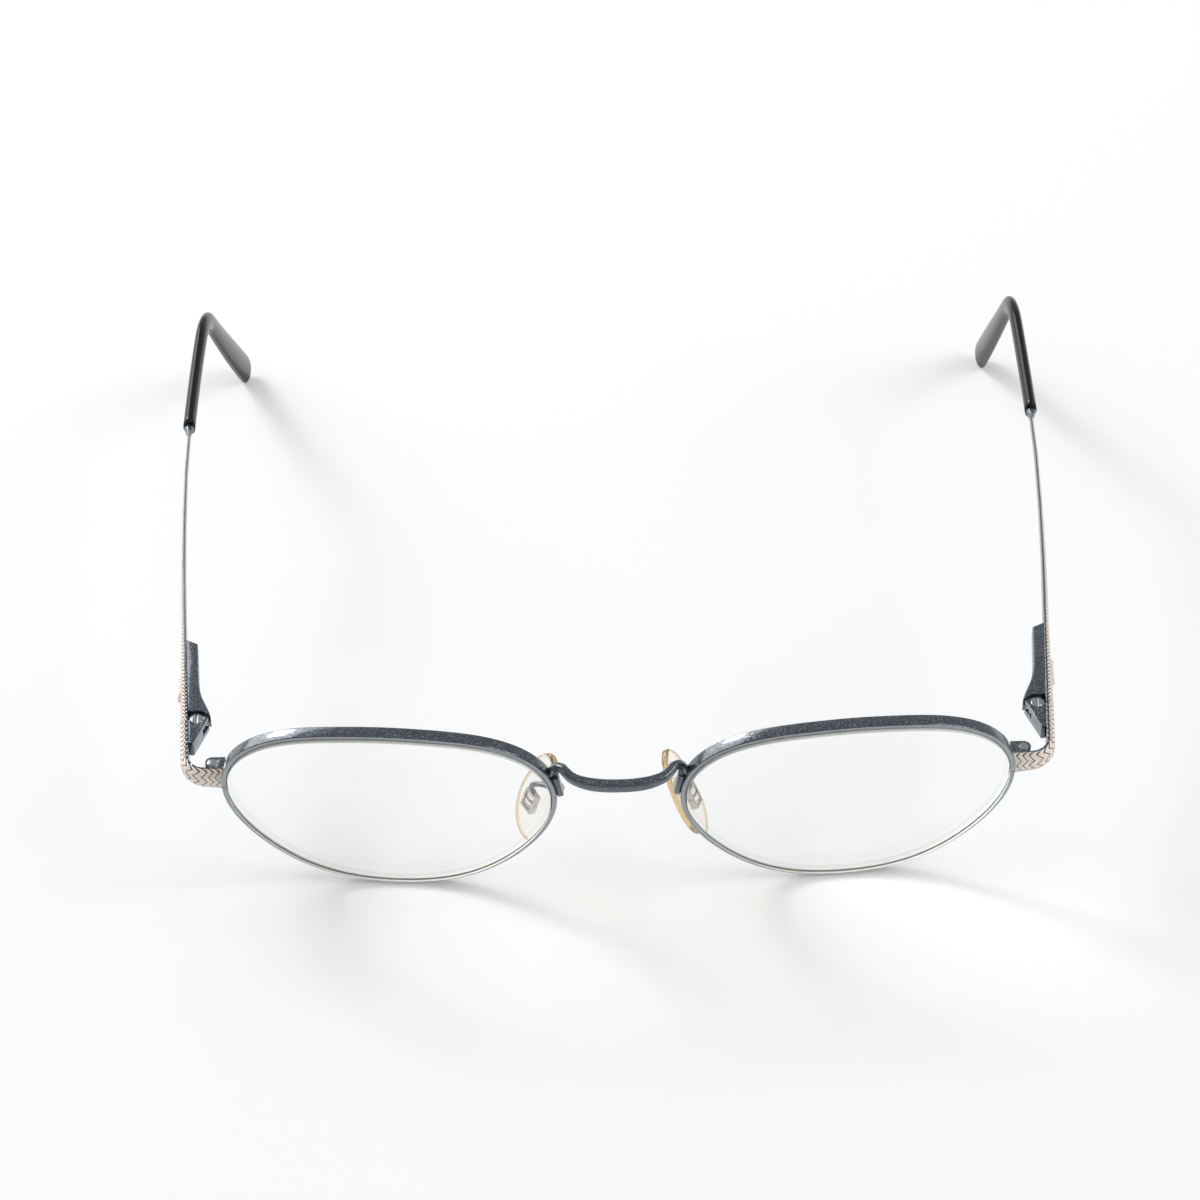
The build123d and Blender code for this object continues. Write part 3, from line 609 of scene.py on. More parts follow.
@dataclass
class Outline:
    """Lens outline: a wide oval with a flattened top and full upper shoulders."""

    width: float = 47.0
    height: float = 34.3
    wide: float = 0.1545
    square: float = 0.007
    flat_top: float = 0.048
    shoulder: float = 0.0155
    base_radius: float = 150.0
    fine: int = 1600

    def __post_init__(self) -> None:
        """Measure the unit outline."""
        points = [self.unit(math.tau * step / self.fine) for step in range(self.fine)]
        self.half = max(point[0] for point in points)
        self.low = min(point[1] for point in points)
        self.high = max(point[1] for point in points)

    def unit(self, turn: float) -> tuple[float, float]:
        """Point of the outline before it is stretched.

        Args:
            turn: Turn round the outline in radians.

        Returns:
            Across and up.
        """
        radius = 1 + self.wide * math.cos(2 * turn) + self.square * math.cos(4 * turn)
        radius += self.flat_top * math.sin(3 * turn) + self.shoulder * math.sin(5 * turn)
        return radius * math.cos(turn), radius * math.sin(turn)

    def stretched(self, turn: float) -> Vector:
        """Point on the lens edge.

        Args:
            turn: Turn round the outline in radians.

        Returns:
            Across and up in millimetres.
        """
        across, up = self.unit(turn)
        middle = (self.low + self.high) / 2
        return Vector((across / self.half * self.width / 2, (up - middle) / (self.high - self.low) * self.height))

    def point(self, turn: float, offset: float = 0.0) -> Vector:
        """Point beside the lens edge.

        Args:
            turn: Turn round the outline in radians.
            offset: Distance outward, square to the edge.

        Returns:
            Across and up from the lens's middle.
        """
        nudge = math.tau / self.fine
        run = (self.stretched(turn + nudge) - self.stretched(turn - nudge)).normalized()
        return self.stretched(turn) + Vector((run.y, -run.x)) * offset

    def outward(self, turn: float) -> Vector:
        """Outward direction at a turn."""
        return (self.point(turn, 1.0) - self.point(turn)).normalized()

    def sag(self, across: float, up: float) -> float:
        """How far the face-form curve falls back."""
        return self.base_radius - math.sqrt(self.base_radius ** 2 - across ** 2 - up ** 2)


@dataclass
class Front:
    """Rims, lenses and bridge."""

    stance: Stance
    finishes: Finishes
    outline: Outline = field(default_factory=Outline)
    rim_thickness: float = 0.8
    rim_depth: float = 1.9
    rim_round: float = 0.18
    rim_steps: int = 180
    slit: float = 0.12
    bevel_height: float = 0.35
    bevel_width: float = 0.9
    bevel_chamfer: float = 0.3
    seat: float = 0.03
    front_facing: float = -0.9
    lens_proud: float = 0.45
    lens_thickness: float = 2.0
    lens_steps: int = 144
    lens_shares: tuple = (0.02, 0.15, 0.3, 0.45, 0.6, 0.75, 0.88, 0.96)
    back_radius: float = 110.0
    outer_turns: tuple = tuple(math.tau * step / 360 for step in range(-60, 60))
    slit_search: tuple = tuple(step / 4000 for step in range(-1200, 1600))

    def rim_section(self) -> list[tuple[float, float]]:
        """Section of the rim, with the groove on the inside.

        Returns:
            Outward and backward places.
        """
        depth, thick, corner = self.rim_depth, self.rim_thickness, self.rim_round
        groove_low = (depth - self.bevel_width) / 2 - self.seat
        groove_high = depth - groove_low
        chamfer = self.bevel_chamfer
        points = [
            (0.0, groove_low), (self.bevel_height, groove_low + chamfer),
            (self.bevel_height, groove_high - chamfer), (0.0, groove_high),
        ]
        corners = ((corner, depth - corner, 180), (thick - corner, depth - corner, 90))
        corners += ((thick - corner, corner, 0), (corner, corner, -90))
        for across, back, start in corners:
            for step in range(4):
                turn = math.radians(start - 30 * step)
                points.append((across + corner * math.cos(turn), back + corner * math.sin(turn)))
        return points

    def slit_turns(self) -> tuple[float, float]:
        """Find where the rim is parted at the closing block.

        Returns:
            The turns of the two cut ends.
        """
        back = self.stance.temple.inverted() @ self.stance.lens
        rises = [(turn, (back @ self.edge_place(turn)).z) for turn in self.slit_search]
        half = self.slit / 2
        return tuple(min((abs(rise - edge), turn) for turn, rise in rises)[1] for edge in (half, -half))

    def edge_place(self, turn: float) -> Vector:
        """Place on the rim's middle line in the lens frame."""
        point = self.outline.point(turn, self.rim_thickness / 2)
        return Vector((point.x, self.outline.sag(point.x, point.y) + self.rim_depth / 2, point.y))

    def holds(self, place: Vector) -> bool:
        """Whether a place lies within the rim or the lens.

        Args:
            place: Place in the lens frame.

        Returns:
            True where something else would cut into them.
        """
        spot = Vector((place.x, place.z))
        turn = min(self.outer_turns, key=lambda angle: (self.outline.point(angle) - spot).length)
        foot = self.outline.point(turn)
        beside = (spot - foot).dot(self.outline.outward(turn))
        depth = place.y - self.outline.sag(foot.x, foot.y)
        return beside < self.seat or (beside < self.rim_thickness and 0 < depth < self.rim_depth)

    def rim_station(self, turn: float) -> Station:
        """Section of the rim, square to the outline.

        Args:
            turn: Turn round the outline in radians.

        Returns:
            The station in the lens frame.
        """
        point = self.outline.point(turn)
        out = self.outline.outward(turn)
        origin = Vector((point.x, self.outline.sag(point.x, point.y), point.y))
        x_axis = Vector((out.x, 0, out.y))
        y_axis = Vector((0, 1, 0))
        place = Matrix((x_axis, y_axis, x_axis.cross(y_axis))).transposed().to_4x4()
        return Matrix.Translation(origin) @ place, self.rim_section()

    def eyewire(self, side: Side) -> None:
        """Build the grooved eyewire, parted at the closing block.

        Args:
            side: The side that it stands on.
        """
        start, end = self.slit_turns()
        span = math.tau - (start - end)
        piece = Piece(side.named("rim"))
        piece.loft([self.rim_station(start + span * step / self.rim_steps) for step in range(self.rim_steps + 1)])
        piece.bm.normal_update()
        bmesh.ops.recalc_face_normals(piece.bm, faces=piece.bm.faces)
        for face in piece.bm.faces:
            face.material_index = int(face.normal.y < self.front_facing)
        obj = piece.finish(side.mirror @ self.stance.lens, [self.finishes.enamel, self.finishes.face])
        stand_for(obj, side.named("eyewire"), "front")

    def lens(self, side: Side) -> None:
        """Build the meniscus lens with its ground bevel in the groove.

        Args:
            side: The side that it stands on.
        """
        piece = Piece(side.named("meniscus"))
        middle = self.rim_depth / 2
        half = self.bevel_width / 2

        def station(share: float, offset: float, back: Callable[[float, float], float]) -> Station:
            """Ring of the lens.

            Args:
                share: Share of the outline's size.
                offset: Distance outward from it.
                back: How far back a point across and up lies.

            Returns:
                The frame, with points across, up and back.
            """
            turns = [math.tau * step / self.lens_steps for step in range(self.lens_steps)]
            points = [self.outline.point(turn, offset) * share for turn in turns]
            return Matrix.Identity(4), [(point.x, point.y, back(point.x, point.y)) for point in points]

        def front(across: float, up: float) -> float:
            """Front surface of the lens."""
            return self.outline.sag(across, up) - self.lens_proud

        def rear(across: float, up: float) -> float:
            """Back surface of the lens."""
            sag = self.back_radius - math.sqrt(self.back_radius ** 2 - across ** 2 - up ** 2)
            return sag + self.lens_thickness - self.lens_proud

        shares = self.lens_shares
        rings = [station(share, -self.seat, front) for share in (*shares, 1)]
        slope = half - self.bevel_chamfer
        for offset, shift in ((0.0, -half), (self.bevel_height, -slope), (self.bevel_height, slope), (0.0, half)):
            rings.append(station(1, offset - self.seat, lambda x, z, s=shift: self.outline.sag(x, z) + middle + s))
        rings += [station(share, -self.seat, rear) for share in reversed((*shares, 1))]
        rows = piece.loft(rings)
        for row, (_, points) in zip(rows, rings):
            for vert, (across, up, back) in zip(row, points):
                vert.co = Vector((across, back, up))
        last = len(shares)
        zones = [{vert for row in rows[last + cut:-last - cut] for vert in row} for cut in (0, 1)]
        for face in piece.bm.faces:
            face.material_index = sum(all(vert in zone for vert in face.verts) for zone in zones)
        # Bevel faces inside the rim's groove take the darker copy, whose colour is painted shade.
        finishes = [self.finishes.clear, self.finishes.edge, self.finishes.bevel]
        obj = piece.finish(side.mirror @ self.stance.lens, finishes, smooth=20)
        stand_for(obj, side.named("lens"), "front")

    def build(self) -> None:
        """Build both rims and lenses, and the bridge."""
        for side in Side:
            self.eyewire(side)
            self.lens(side)
        Rounded("bridge", "enamel", [self.finishes.enamel], radius=0.12, sharp=30).build()


@dataclass
class Rounded:
    """A solid's own surface with its edges broken as a maker would, in one or two finishes."""

    node: str
    slot: str
    materials: Sequence[bpy.types.Material]
    radius: float = 0.05
    sharp: float = 35.0
    choose: Callable[[bmesh.types.BMFace], int] = lambda face: 0
    merge: float = 0.001
    flat: float = 1.0

    def build(self) -> None:
        """Make the piece that stands for the solid."""
        source = frame["nodes"][self.node]
        piece = Piece(f"{self.node}_finished")
        piece.bm.from_mesh(source.data)
        bmesh.ops.transform(piece.bm, matrix=Matrix.Scale(1 / MM, 4) @ source.matrix_world, verts=piece.bm.verts)
        bmesh.ops.remove_doubles(piece.bm, verts=piece.bm.verts, dist=self.merge)
        bmesh.ops.dissolve_limit(
            piece.bm, angle_limit=math.radians(self.flat), use_dissolve_boundaries=False, verts=piece.bm.verts,
            edges=piece.bm.edges,
        )
        limit = math.radians(self.sharp)
        edges = [edge for edge in piece.bm.edges if edge.is_manifold and edge.calc_face_angle(0) > limit]
        if edges and self.radius:
            bmesh.ops.bevel(
                piece.bm, geom=edges, offset=self.radius, offset_type="OFFSET", segments=2, clamp_overlap=True,
                **BEVEL_KIND,
            )
        piece.bm.normal_update()
        for face in piece.bm.faces:
            face.material_index = self.choose(face)
        obj = piece.finish(Matrix.Identity(4), self.materials, self.sharp)
        stand_for(obj, self.node, body_of(source)[0])


@dataclass(frozen=True)
class Zigzag:
    """Stamped herringbone: grooves that run to and fro across a domed strip.

    The outermost runs wrap over the strip's two edges, where they look like a twisted cord.
    """

    pitch: float = 0.77
    run: float = 0.62
    runs: int = 6
    steps: int = 4
    depth: float = 0.06
    edge_depth: float = 0.15
    groove: float = 0.08
    wrap_share: float = 0.75
    corner_share: float = 0.2

    def shift(self, place: float) -> float:
        """How far a groove has run along the strip at a place, which counts runs from the top."""
        turn = place % 2
        return self.run * (turn if turn <= 1 else 2 - turn)

    def rows(self) -> list[tuple[float, float, float]]:
        """Rows of one pitch: place in the pitch, share of the depth at the middle and at the edges."""
        share = self.groove / self.pitch
        return [(0, 1, 1), (share, 0.1, 0.55), (0.3, 0, 0.12), (0.5, 0, 0), (0.7, 0, 0.12), (1 - share, 0.1, 0.55)]

    def section(self, height: float, flat: float, dome: float) -> list[tuple[float, float, float, float, float]]:
        """Points round a strip's section.

        Args:
            height: Height of the strip.
            flat: Thickness at its edges.
            dome: Swell of the outer side.

        Returns:
            Outward and upward place, the outward normal, and the place in runs, or -1 on a plain face.
        """
        half = height / 2
        radius = (half ** 2 + dome ** 2) / (2 * dome)
        spread = 2 * math.atan2(dome, half)
        centre = flat + dome - radius
        points = [(flat * self.wrap_share, half, 0, 1, 0.0)]
        count = (self.runs - 1) * self.steps
        for step in range(count + 1):
            turn = spread * (1 - 2 * step / count)
            out = (centre + radius * math.cos(turn), radius * math.sin(turn))
            lean = turn if 0 < step < count else turn + math.copysign((math.pi / 2 - spread) / 2, turn)
            points.append((*out, math.cos(lean), math.sin(lean), 0.5 + step / self.steps))
        points.append((flat * self.wrap_share, -half, 0, -1, float(self.runs)))
        small = flat * self.corner_share
        plain = [(small, -half), (0, small - half), (0, half - small), (small, half)]
        return points + [(*place, 0, 0, -1.0) for place in plain]


@dataclass
class Strip:
    """Domed strip that carries the zigzag on its outer side and enamel on its flat inner side."""

    length: float
    centre: Callable[[float], tuple[Vector, Vector]]
    measure: Callable[[float], tuple[float, float, float]]
    zigzag: Zigzag = Zigzag()
    blocked: Callable[[Vector], bool] = lambda place: False
    reach_steps: int = 240
    merge: float = 0.002

    def point(self, along: float, index: int, cut: float = 0.0) -> Vector:
        """Place of a section point.

        Args:
            along: Distance along the strip.
            index: Number of the point in the section.
            cut: How deep it is pressed in.

        Returns:
            The place in the hinge's frame.
        """
        origin, out = self.centre(along)
        across, up, lean, rise, _ = self.zigzag.section(*self.measure(along))[index]
        return origin + out * (across - lean * cut) + Vector((0, 0, up - rise * cut))

    def reach(self, index: int) -> float:
        """How far a section point can run before something blocks it."""
        runs = (self.length * step / self.reach_steps for step in range(self.reach_steps, 0, -1))
        return next((run for run in runs if not self.blocked(self.point(run, index))), 0.0)

    def add_to(self, piece: Piece) -> None:
        """Draw the strip, with its engraved faces as material 1.

        Args:
            piece: Mesh that the strip goes into.
        """
        zigzag = self.zigzag
        places = [point[4] for point in zigzag.section(*self.measure(0))]
        reaches = [self.reach(index) for index in range(len(places))]
        layer = piece.bm.verts.layers.float.new(GROOVE)
        start = -math.ceil(zigzag.run / zigzag.pitch)
        verts, last, rows = None, None, []
        for turn in range(start, math.ceil(self.length / zigzag.pitch) + 1):
            for share, middle_cut, edge_cut in zigzag.rows():
                base = (turn + share) * zigzag.pitch
                spots = [
                    min(max(base + (zigzag.shift(place) if place >= 0 else 0), 0), reach)
                    for place, reach in zip(places, reaches)
                ]
                if spots == last:
                    continue
                last = spots
                station = (Matrix.Identity(4), [(0.0, 0.0)] * len(spots))
                verts = piece.ring(station) if verts is None else piece.grow(verts, station)
                rows.append(verts)
                for index, (vert, along, place) in enumerate(zip(verts, spots, places)):
                    inside = place >= 0 and 0 < along < reaches[index]
                    edge = min(max(abs(place - zigzag.runs / 2) - zigzag.runs / 2 + 1.5, 0), 1)
                    cut = (middle_cut * zigzag.depth * (1 - edge) + edge_cut * zigzag.edge_depth * edge) * inside
                    vert.co = self.point(along, index, cut)
                    vert[layer] = inside * max(share == 0, middle_cut * (1 - edge), edge_cut * edge)
        piece.close(rows)
        marked = {vert for row in rows for vert, place in zip(row, places) if place >= 0}
        for face in piece.bm.faces:
            face.material_index = int(len(face.verts) <= 4 and all(vert in marked for vert in face.verts))
        bmesh.ops.remove_doubles(piece.bm, verts=piece.bm.verts, dist=self.merge)


@dataclass
class EndPieces:
    """Engraved strips that turn the corner, with the blocks that clamp the rims."""

    stance: Stance
    finishes: Finishes
    front: Front
    start: tuple[float, float] = (62.996, -0.05)
    corner: tuple[float, float] = (62.213, -10.0)
    root: tuple[float, float] = (55.6, -10.231)
    bend_radius: float = 2.6
    height: float = 3.0
    flat: float = 0.6
    dome: float = 0.7
    flare: float = 1.1
    flare_drop: float = 0.4
    flare_share: float = 0.42
    zigzag: Zigzag = Zigzag(pitch=0.93, run=0.7, groove=0.1)

    def __post_init__(self) -> None:
        """Work out the runs of the path before and after the bend."""
        first, middle, last = (Vector(place) for place in (self.start, self.corner, self.root))
        self.ways = ((middle - first).normalized(), (last - middle).normalized())
        self.turn = self.ways[0].angle(self.ways[1])
        tangent = self.bend_radius * math.tan(self.turn / 2)
        self.runs = ((middle - first).length - tangent, (last - middle).length - tangent)
        self.bend = self.bend_radius * self.turn
        self.length = sum(self.runs) + self.bend

    def swell(self, along: float) -> float:
        """Share of the flare at a distance."""
        return max(along / self.length - self.flare_share, 0) / (1 - self.flare_share)

    def centre(self, along: float) -> tuple[Vector, Vector]:
        """Middle line of the strip's inner face.

        Args:
            along: Distance from the hinge end.

        Returns:
            The place, and the way out of the strip.
        """
        first, second = self.ways
        turned_by = min(max(along - self.runs[0], 0), self.bend) / self.bend_radius
        beyond = max(along - self.runs[0] - self.bend, 0)
        place = Vector(self.start) + first * min(along, self.runs[0])
        side = Vector((first.y, -first.x))
        arc = first * math.sin(turned_by) + side * (1 - math.cos(turned_by))
        place += arc * self.bend_radius + second * beyond
        way = first * math.cos(turned_by) + side * math.sin(turned_by)
        return Vector((*place, -self.flare_drop * self.swell(along))), Vector((-way.y, way.x, 0))

    def measure(self, along: float) -> tuple[float, float, float]:
        """Height, flat and dome at a distance."""
        return self.height + self.flare * self.swell(along), self.flat, self.dome

    def in_rim(self, place: Vector) -> bool:
        """Whether a place in the hinge's frame lies in the rim or the lens."""
        return self.front.holds(self.stance.lens.inverted() @ self.stance.temple @ place)

    def build(self) -> None:
        """Build both sides."""
        strip = Strip(self.length, self.centre, self.measure, self.zigzag, self.in_rim)
        for side in Side:
            piece = Piece(side.named("engraved_corner"))
            strip.add_to(piece)
            finishes = [self.finishes.enamel, self.finishes.copper]
            obj = piece.finish(side.mirror @ self.stance.temple, finishes, smooth=50)
            stand_for(obj, side.named("end_piece"), "front")
            for half in ("upper", "lower"):
                Rounded(side.named(f"closing_block_{half}"), "enamel", [self.finishes.enamel]).build()
        Rounded("closing_screws", "bright_screw", [self.finishes.screw], radius=0.04).build()


@dataclass
class Hinges:
    """Spring hinges: forked block, bush and screw, sliding knuckle, spring, stop and housing."""

    finishes: Finishes
    slant: float = 0.85

    def build(self) -> None:
        """Finish every hinge piece."""
        steel = [self.finishes.steel]
        for side in Side:
            inward = -1 if side is Side.LEFT else 1

            def polished(face: bmesh.types.BMFace, inward: int = inward) -> int:
                """The slanted inner faces are left bright."""
                return int(face.normal.x * inward > self.slant)

            finishes = [self.finishes.enamel, self.finishes.polish]
            Rounded(side.named("hinge_block"), "polished_enamel", finishes, radius=0.06, choose=polished).build()
            Rounded(side.named("spring_housing"), "enamel", [self.finishes.enamel]).build()
            for name, radius in (("hinge_bush", 0.02), ("hinge_slider", 0.04), ("spring_stop", 0.03)):
                Rounded(side.named(name), "bright_screw", steel, radius).build()
            Rounded(side.named("hinge_spring"), "bright_screw", steel, radius=0, sharp=70).build()
        Rounded("hinge_screws", "bright_screw", [self.finishes.screw]).build()


@dataclass
class Temples:
    """Engraved temple strips, their plaques, and the sleeves that bend down behind the ears."""

    stance: Stance
    finishes: Finishes
    joint_across: float = 63.0
    joint_gap: float = 0.1
    flat_run: float = 18.0
    stations: tuple = (0.0, 18.0, 25.0, 34.0, 45.0, 57.0, 66.5)
    across: tuple = (63.0, 64.57, 65.18, 65.90, 66.63, 67.24, 67.42)
    heights: tuple = (3.0, 3.0, 2.9, 2.6, 2.3, 1.95, 1.6)
    flats: tuple = (0.6, 0.43, 0.42, 0.38, 0.34, 0.30, 0.28)
    domes: tuple = (0.7, 0.43, 0.40, 0.36, 0.31, 0.28, 0.26)
    collar_length: float = 2.6
    collar_radius: float = 0.78
    core_radius: float = 0.6
    core_gap: float = 0.02
    core_stop: float = 12.0
    sleeve_start: float = 68.1
    sleeve_across: float = 67.75
    bend_start: float = 90.5
    bend_radius: float = 14.0
    bend_turn: float = 52.0
    sleeve: tuple[float, float] = (0.97, 1.55)
    paddle: tuple[float, float] = (1.15, 2.6)
    paddle_end: float = 2.0
    mouth_share: float = 0.92
    mouth_run: float = 0.12
    tip_inward: tuple[float, float] = (1.2, 3.0)
    sides: int = 32
    collar_steps: int = 8
    ear_steps: int = 64
    nudge: float = 0.5
    end_angles: range = range(10, 90, 10)

    def __post_init__(self) -> None:
        """Work out the length of the ear piece so that its tip rests on the table."""
        splay = math.tan(math.radians(self.stance.housing_splay))
        base = self.joint_across + self.joint_gap / 2 * splay
        self.across = (base, base + self.flat_run * splay) + self.across[2:]
        self.stations = (self.joint_gap / 2, self.joint_gap / 2 + self.flat_run) + self.stations[2:]
        turn = math.radians(self.bend_turn)
        fall = turn - self.stance.pitch
        along = self.bend_start + self.bend_radius * math.sin(turn)
        under = self.bend_radius * (1 - math.cos(turn))
        pitch = self.stance.pitch
        hinge = self.stance.rise + self.stance.hinge_rise
        height = hinge + along * math.sin(pitch) - under * math.cos(pitch)
        below = math.hypot(self.paddle_end * math.sin(fall), self.paddle[1] * math.cos(fall))
        self.straight = self.bend_start - self.sleeve_start
        self.bend = self.bend_radius * turn
        self.ear = self.straight + self.bend + (height - below) / math.sin(fall)

    def blend(self, values: Sequence[float], place: float) -> float:
        """Value between the stations.

        Args:
            values: Value at each station.
            place: Distance from the hinge.

        Returns:
            The value in between.
        """
        spans = list(zip(self.stations, self.stations[1:], values, values[1:]))
        start, end, low, high = next((span for span in spans if place <= span[1]), spans[-1])
        return low + (high - low) * (place - start) / (end - start)

    def centre(self, along: float) -> tuple[Vector, Vector]:
        """Middle line of the strip's inner face.

        Args:
            along: Distance from its start.

        Returns:
            The place, and the way out of the strip.
        """
        place = self.stations[0] + along
        drift = self.blend(self.across, place + self.nudge) - self.blend(self.across, place - self.nudge)
        way = Vector((1, -drift, 0)).normalized()
        return Vector((self.blend(self.across, place), place, 0)), way

    def measure(self, along: float) -> tuple[float, float, float]:
        """Height, flat and dome at a distance."""
        place = self.stations[0] + along
        return tuple(self.blend(values, place) for values in (self.heights, self.flats, self.domes))

    def ear_station(self, side: Side, distance: float, half: tuple[float, float], ahead: float = 0.0) -> Station:
        """Oval section square to the ear piece.

        Args:
            side: The side, as the ear tips turn inward unequally.
            distance: Distance from the sleeve mouth.
            half: Half width and half height.
            ahead: Further move straight ahead.

        Returns:
            The station in the hinge's frame.
        """
        angle = min(max((distance - self.straight) / self.bend_radius, 0), math.radians(self.bend_turn))
        beyond = max(distance - self.straight - self.bend_radius * angle, 0)
        along = self.sleeve_start + min(distance, self.straight)
        along += self.bend_radius * math.sin(angle) + beyond * math.cos(angle)
        under = self.bend_radius * (1 - math.cos(angle)) + beyond * math.sin(angle)
        inward = self.tip_inward[list(Side).index(side)]
        share = distance / self.ear
        drift = -2 * inward * abs(share) / self.ear
        way = Vector((drift, math.cos(angle), -math.sin(angle))).normalized()
        place = Vector((self.sleeve_across - inward * share * abs(share), along, -under)) + way * ahead
        return section_place(place, way, Vector((1, 0, 0))), oval(*half, self.sides)

    def distances(self, end: float) -> list[float]:
        """Distances from the sleeve mouth for smooth sections."""
        return [end * step / self.ear_steps for step in range(self.ear_steps + 1)]

    def strip(self, side: Side) -> None:
        """Build the engraved strip that ends in a flared collar and the core wire of the sleeve.

        Args:
            side: The side that it stands on.
        """
        piece = Piece(side.named("engraved_temple"))
        length = self.stations[-1] - self.stations[0]
        Strip(length, self.centre, self.measure).add_to(piece)
        thin = (self.flats[-1] + self.domes[-1]) / 2
        centre = self.across[-1] + thin
        stations = []
        root = self.sleeve_start - self.collar_length
        for step in range(self.collar_steps + 1):
            share = step / self.collar_steps
            swell = share * share * (3 - 2 * share)
            half = tuple(value + (self.collar_radius - value) * swell for value in (thin, self.heights[-1] / 2))
            place = Vector((centre + (self.sleeve_across - centre) * share, root + self.collar_length * share, 0))
            stations.append((section_place(place, Vector((0, 1, 0)), Vector((1, 0, 0))), oval(*half, self.sides)))
        core = (self.core_radius, self.core_radius)
        stations += [self.ear_station(side, gone, core) for gone in self.distances(self.ear - self.core_stop)]
        piece.loft(stations)
        obj = piece.finish(side.mirror @ self.stance.temple, [self.finishes.enamel, self.finishes.copper], smooth=50)
        stand_for(obj, side.named("temple"), side.named("arm"))

    def tip(self, side: Side) -> None:
        """Build the sleeve, which swells to a rounded paddle, from the bottom of its bore outward.

        Args:
            side: The side that it stands on.
        """
        bore = self.core_radius + self.core_gap
        stations = [
            self.ear_station(side, gone, (bore, bore))
            for gone in reversed(self.distances(self.ear - self.core_stop + self.core_gap))
        ]
        for gone in self.distances(self.ear):
            share = max(gone - self.straight, 0) / (self.ear - self.straight)
            swell = (1 - math.cos(math.pi * share)) / 2
            half = tuple(low + (high - low) * swell for low, high in zip(self.sleeve, self.paddle))
            lip = self.mouth_share if gone == 0 else 1.0
            stations.append(self.ear_station(side, gone, tuple(value * lip for value in half)))
            if gone == 0:
                stations.append(self.ear_station(side, self.mouth_run, self.sleeve))
        for angle in self.end_angles:
            turn = math.radians(angle)
            half = tuple(value * math.cos(turn) for value in self.paddle)
            stations.append(self.ear_station(side, self.ear, half, self.paddle_end * math.sin(turn)))
        piece = Piece(side.named("ear_sleeve"))
        piece.loft(stations)
        obj = piece.finish(side.mirror @ self.stance.temple, [self.finishes.sleeve], smooth=45)
        stand_for(obj, side.named("tip_sleeve"), side.named("arm"))

    def build(self) -> None:
        """Build both temples."""
        for side in Side:
            self.strip(side)
            self.tip(side)
            Rounded(side.named("plaque"), "engraved_copper", [self.finishes.copper], radius=0.08).build()


@dataclass
class Pads:
    """Nose pads in their boxes, on wire arms beside the bridge."""

    stance: Stance
    finishes: Finishes
    back: float = 8.0
    drop: float = 2.75
    height: float = 14.2
    width: float = 8.2
    thickness: float = 1.6
    crown: float = 0.8
    narrow: float = 0.14
    rim_round: float = 0.25
    back_share: float = 0.94
    back_rings: tuple = (0.3, 0.6, 0.86)
    round_steps: int = 4
    points: int = 48
    edge_rows: tuple[int, int] = (4, 10)
    lug: tuple[float, float, float] = (1.4, 1.2, 2.2)
    lug_round: float = 0.15
    stances: tuple = ((10.1, 75.3, 23.2, 14.2), (12.1, 62.7, 18.7, 1.6))

    def place(self, side: Side) -> Matrix:
        """Frame of one pad as if on the left.

        Args:
            side: The side that it belongs to.

        Returns:
            The frame, whose Y points to the nose and Z up along the pad.
        """
        across, turn, splay, lean = self.stances[list(Side).index(side)]
        spot = Matrix.Translation((across, self.stance.front_shift + self.back, self.stance.rise - self.drop))
        return spot @ turned(-lean, "X") @ turned(-splay, "Y") @ turned(turn, "Z")

    def layer(self, depth: float, share: float) -> Station:
        """Drop-shaped section.

        Args:
            depth: Distance from the pad's back.
            share: Share of its full size.

        Returns:
            The station in the pad's frame.
        """
        points = []
        for step in range(self.points):
            angle = math.tau * step / self.points
            across = self.width / 2 * math.cos(angle) * (1 - self.narrow * math.sin(angle))
            points.append((across * share, self.height / 2 * math.sin(angle) * share))
        return section_place(Vector((0, depth, 0)), Vector((0, -1, 0)), Vector((1, 0, 0))), points

    def cushion(self, side: Side) -> None:
        """Build the soft-edged clear pad with the lug that the box holds.

        Args:
            side: The side that it stands on.
        """
        edge = self.thickness - self.crown
        layers = [self.layer(0, share) for share in self.back_rings]
        for step in range(1, self.round_steps + 1):
            turn = math.pi / 2 * step / self.round_steps
            share = self.back_share + (1 - self.back_share) * math.sin(turn)
            layers.append(self.layer(self.rim_round * (1 - math.cos(turn)), share))
        layers.append(self.layer(edge, 1))
        for angle in range(9, 90, 9):
            turn = math.radians(angle)
            layers.append(self.layer(edge + self.crown * math.sin(turn), math.cos(turn)))
        piece = Piece(side.named("cushion"))
        rows = piece.loft(layers)
        rim = {vert for row in rows[self.edge_rows[0]:self.edge_rows[1]] for vert in row}
        for face in piece.bm.faces:
            face.material_index = int(all(vert in rim for vert in face.verts))
        made = bmesh.ops.create_cube(piece.bm, size=1)
        spot = Matrix.Translation((0, -self.lug[1] / 2, 0)) @ Matrix.Diagonal((*self.lug, 1))
        bmesh.ops.transform(piece.bm, matrix=spot, verts=made["verts"])
        edges = list({edge for vert in made["verts"] for edge in vert.link_edges})
        bmesh.ops.bevel(piece.bm, geom=edges, offset=self.lug_round, segments=3, **BEVEL_KIND)
        finishes = [self.finishes.pad, self.finishes.pad_edge]
        obj = piece.finish(side.mirror @ self.place(side), finishes, smooth=60)
        stand_for(obj, side.named("nose_pad"), side.named("pad"))

    def build(self) -> None:
        """Build both pads, their boxes, arms and screws."""
        for side in Side:
            self.cushion(side)
            Rounded(side.named("pad_box"), "silver_box", [self.finishes.plate]).build()
            Rounded(side.named("pad_arm"), "enamel", [self.finishes.enamel], sharp=50).build()
        Rounded("pad_screws", "bright_screw", [self.finishes.screw], radius=0.03).build()


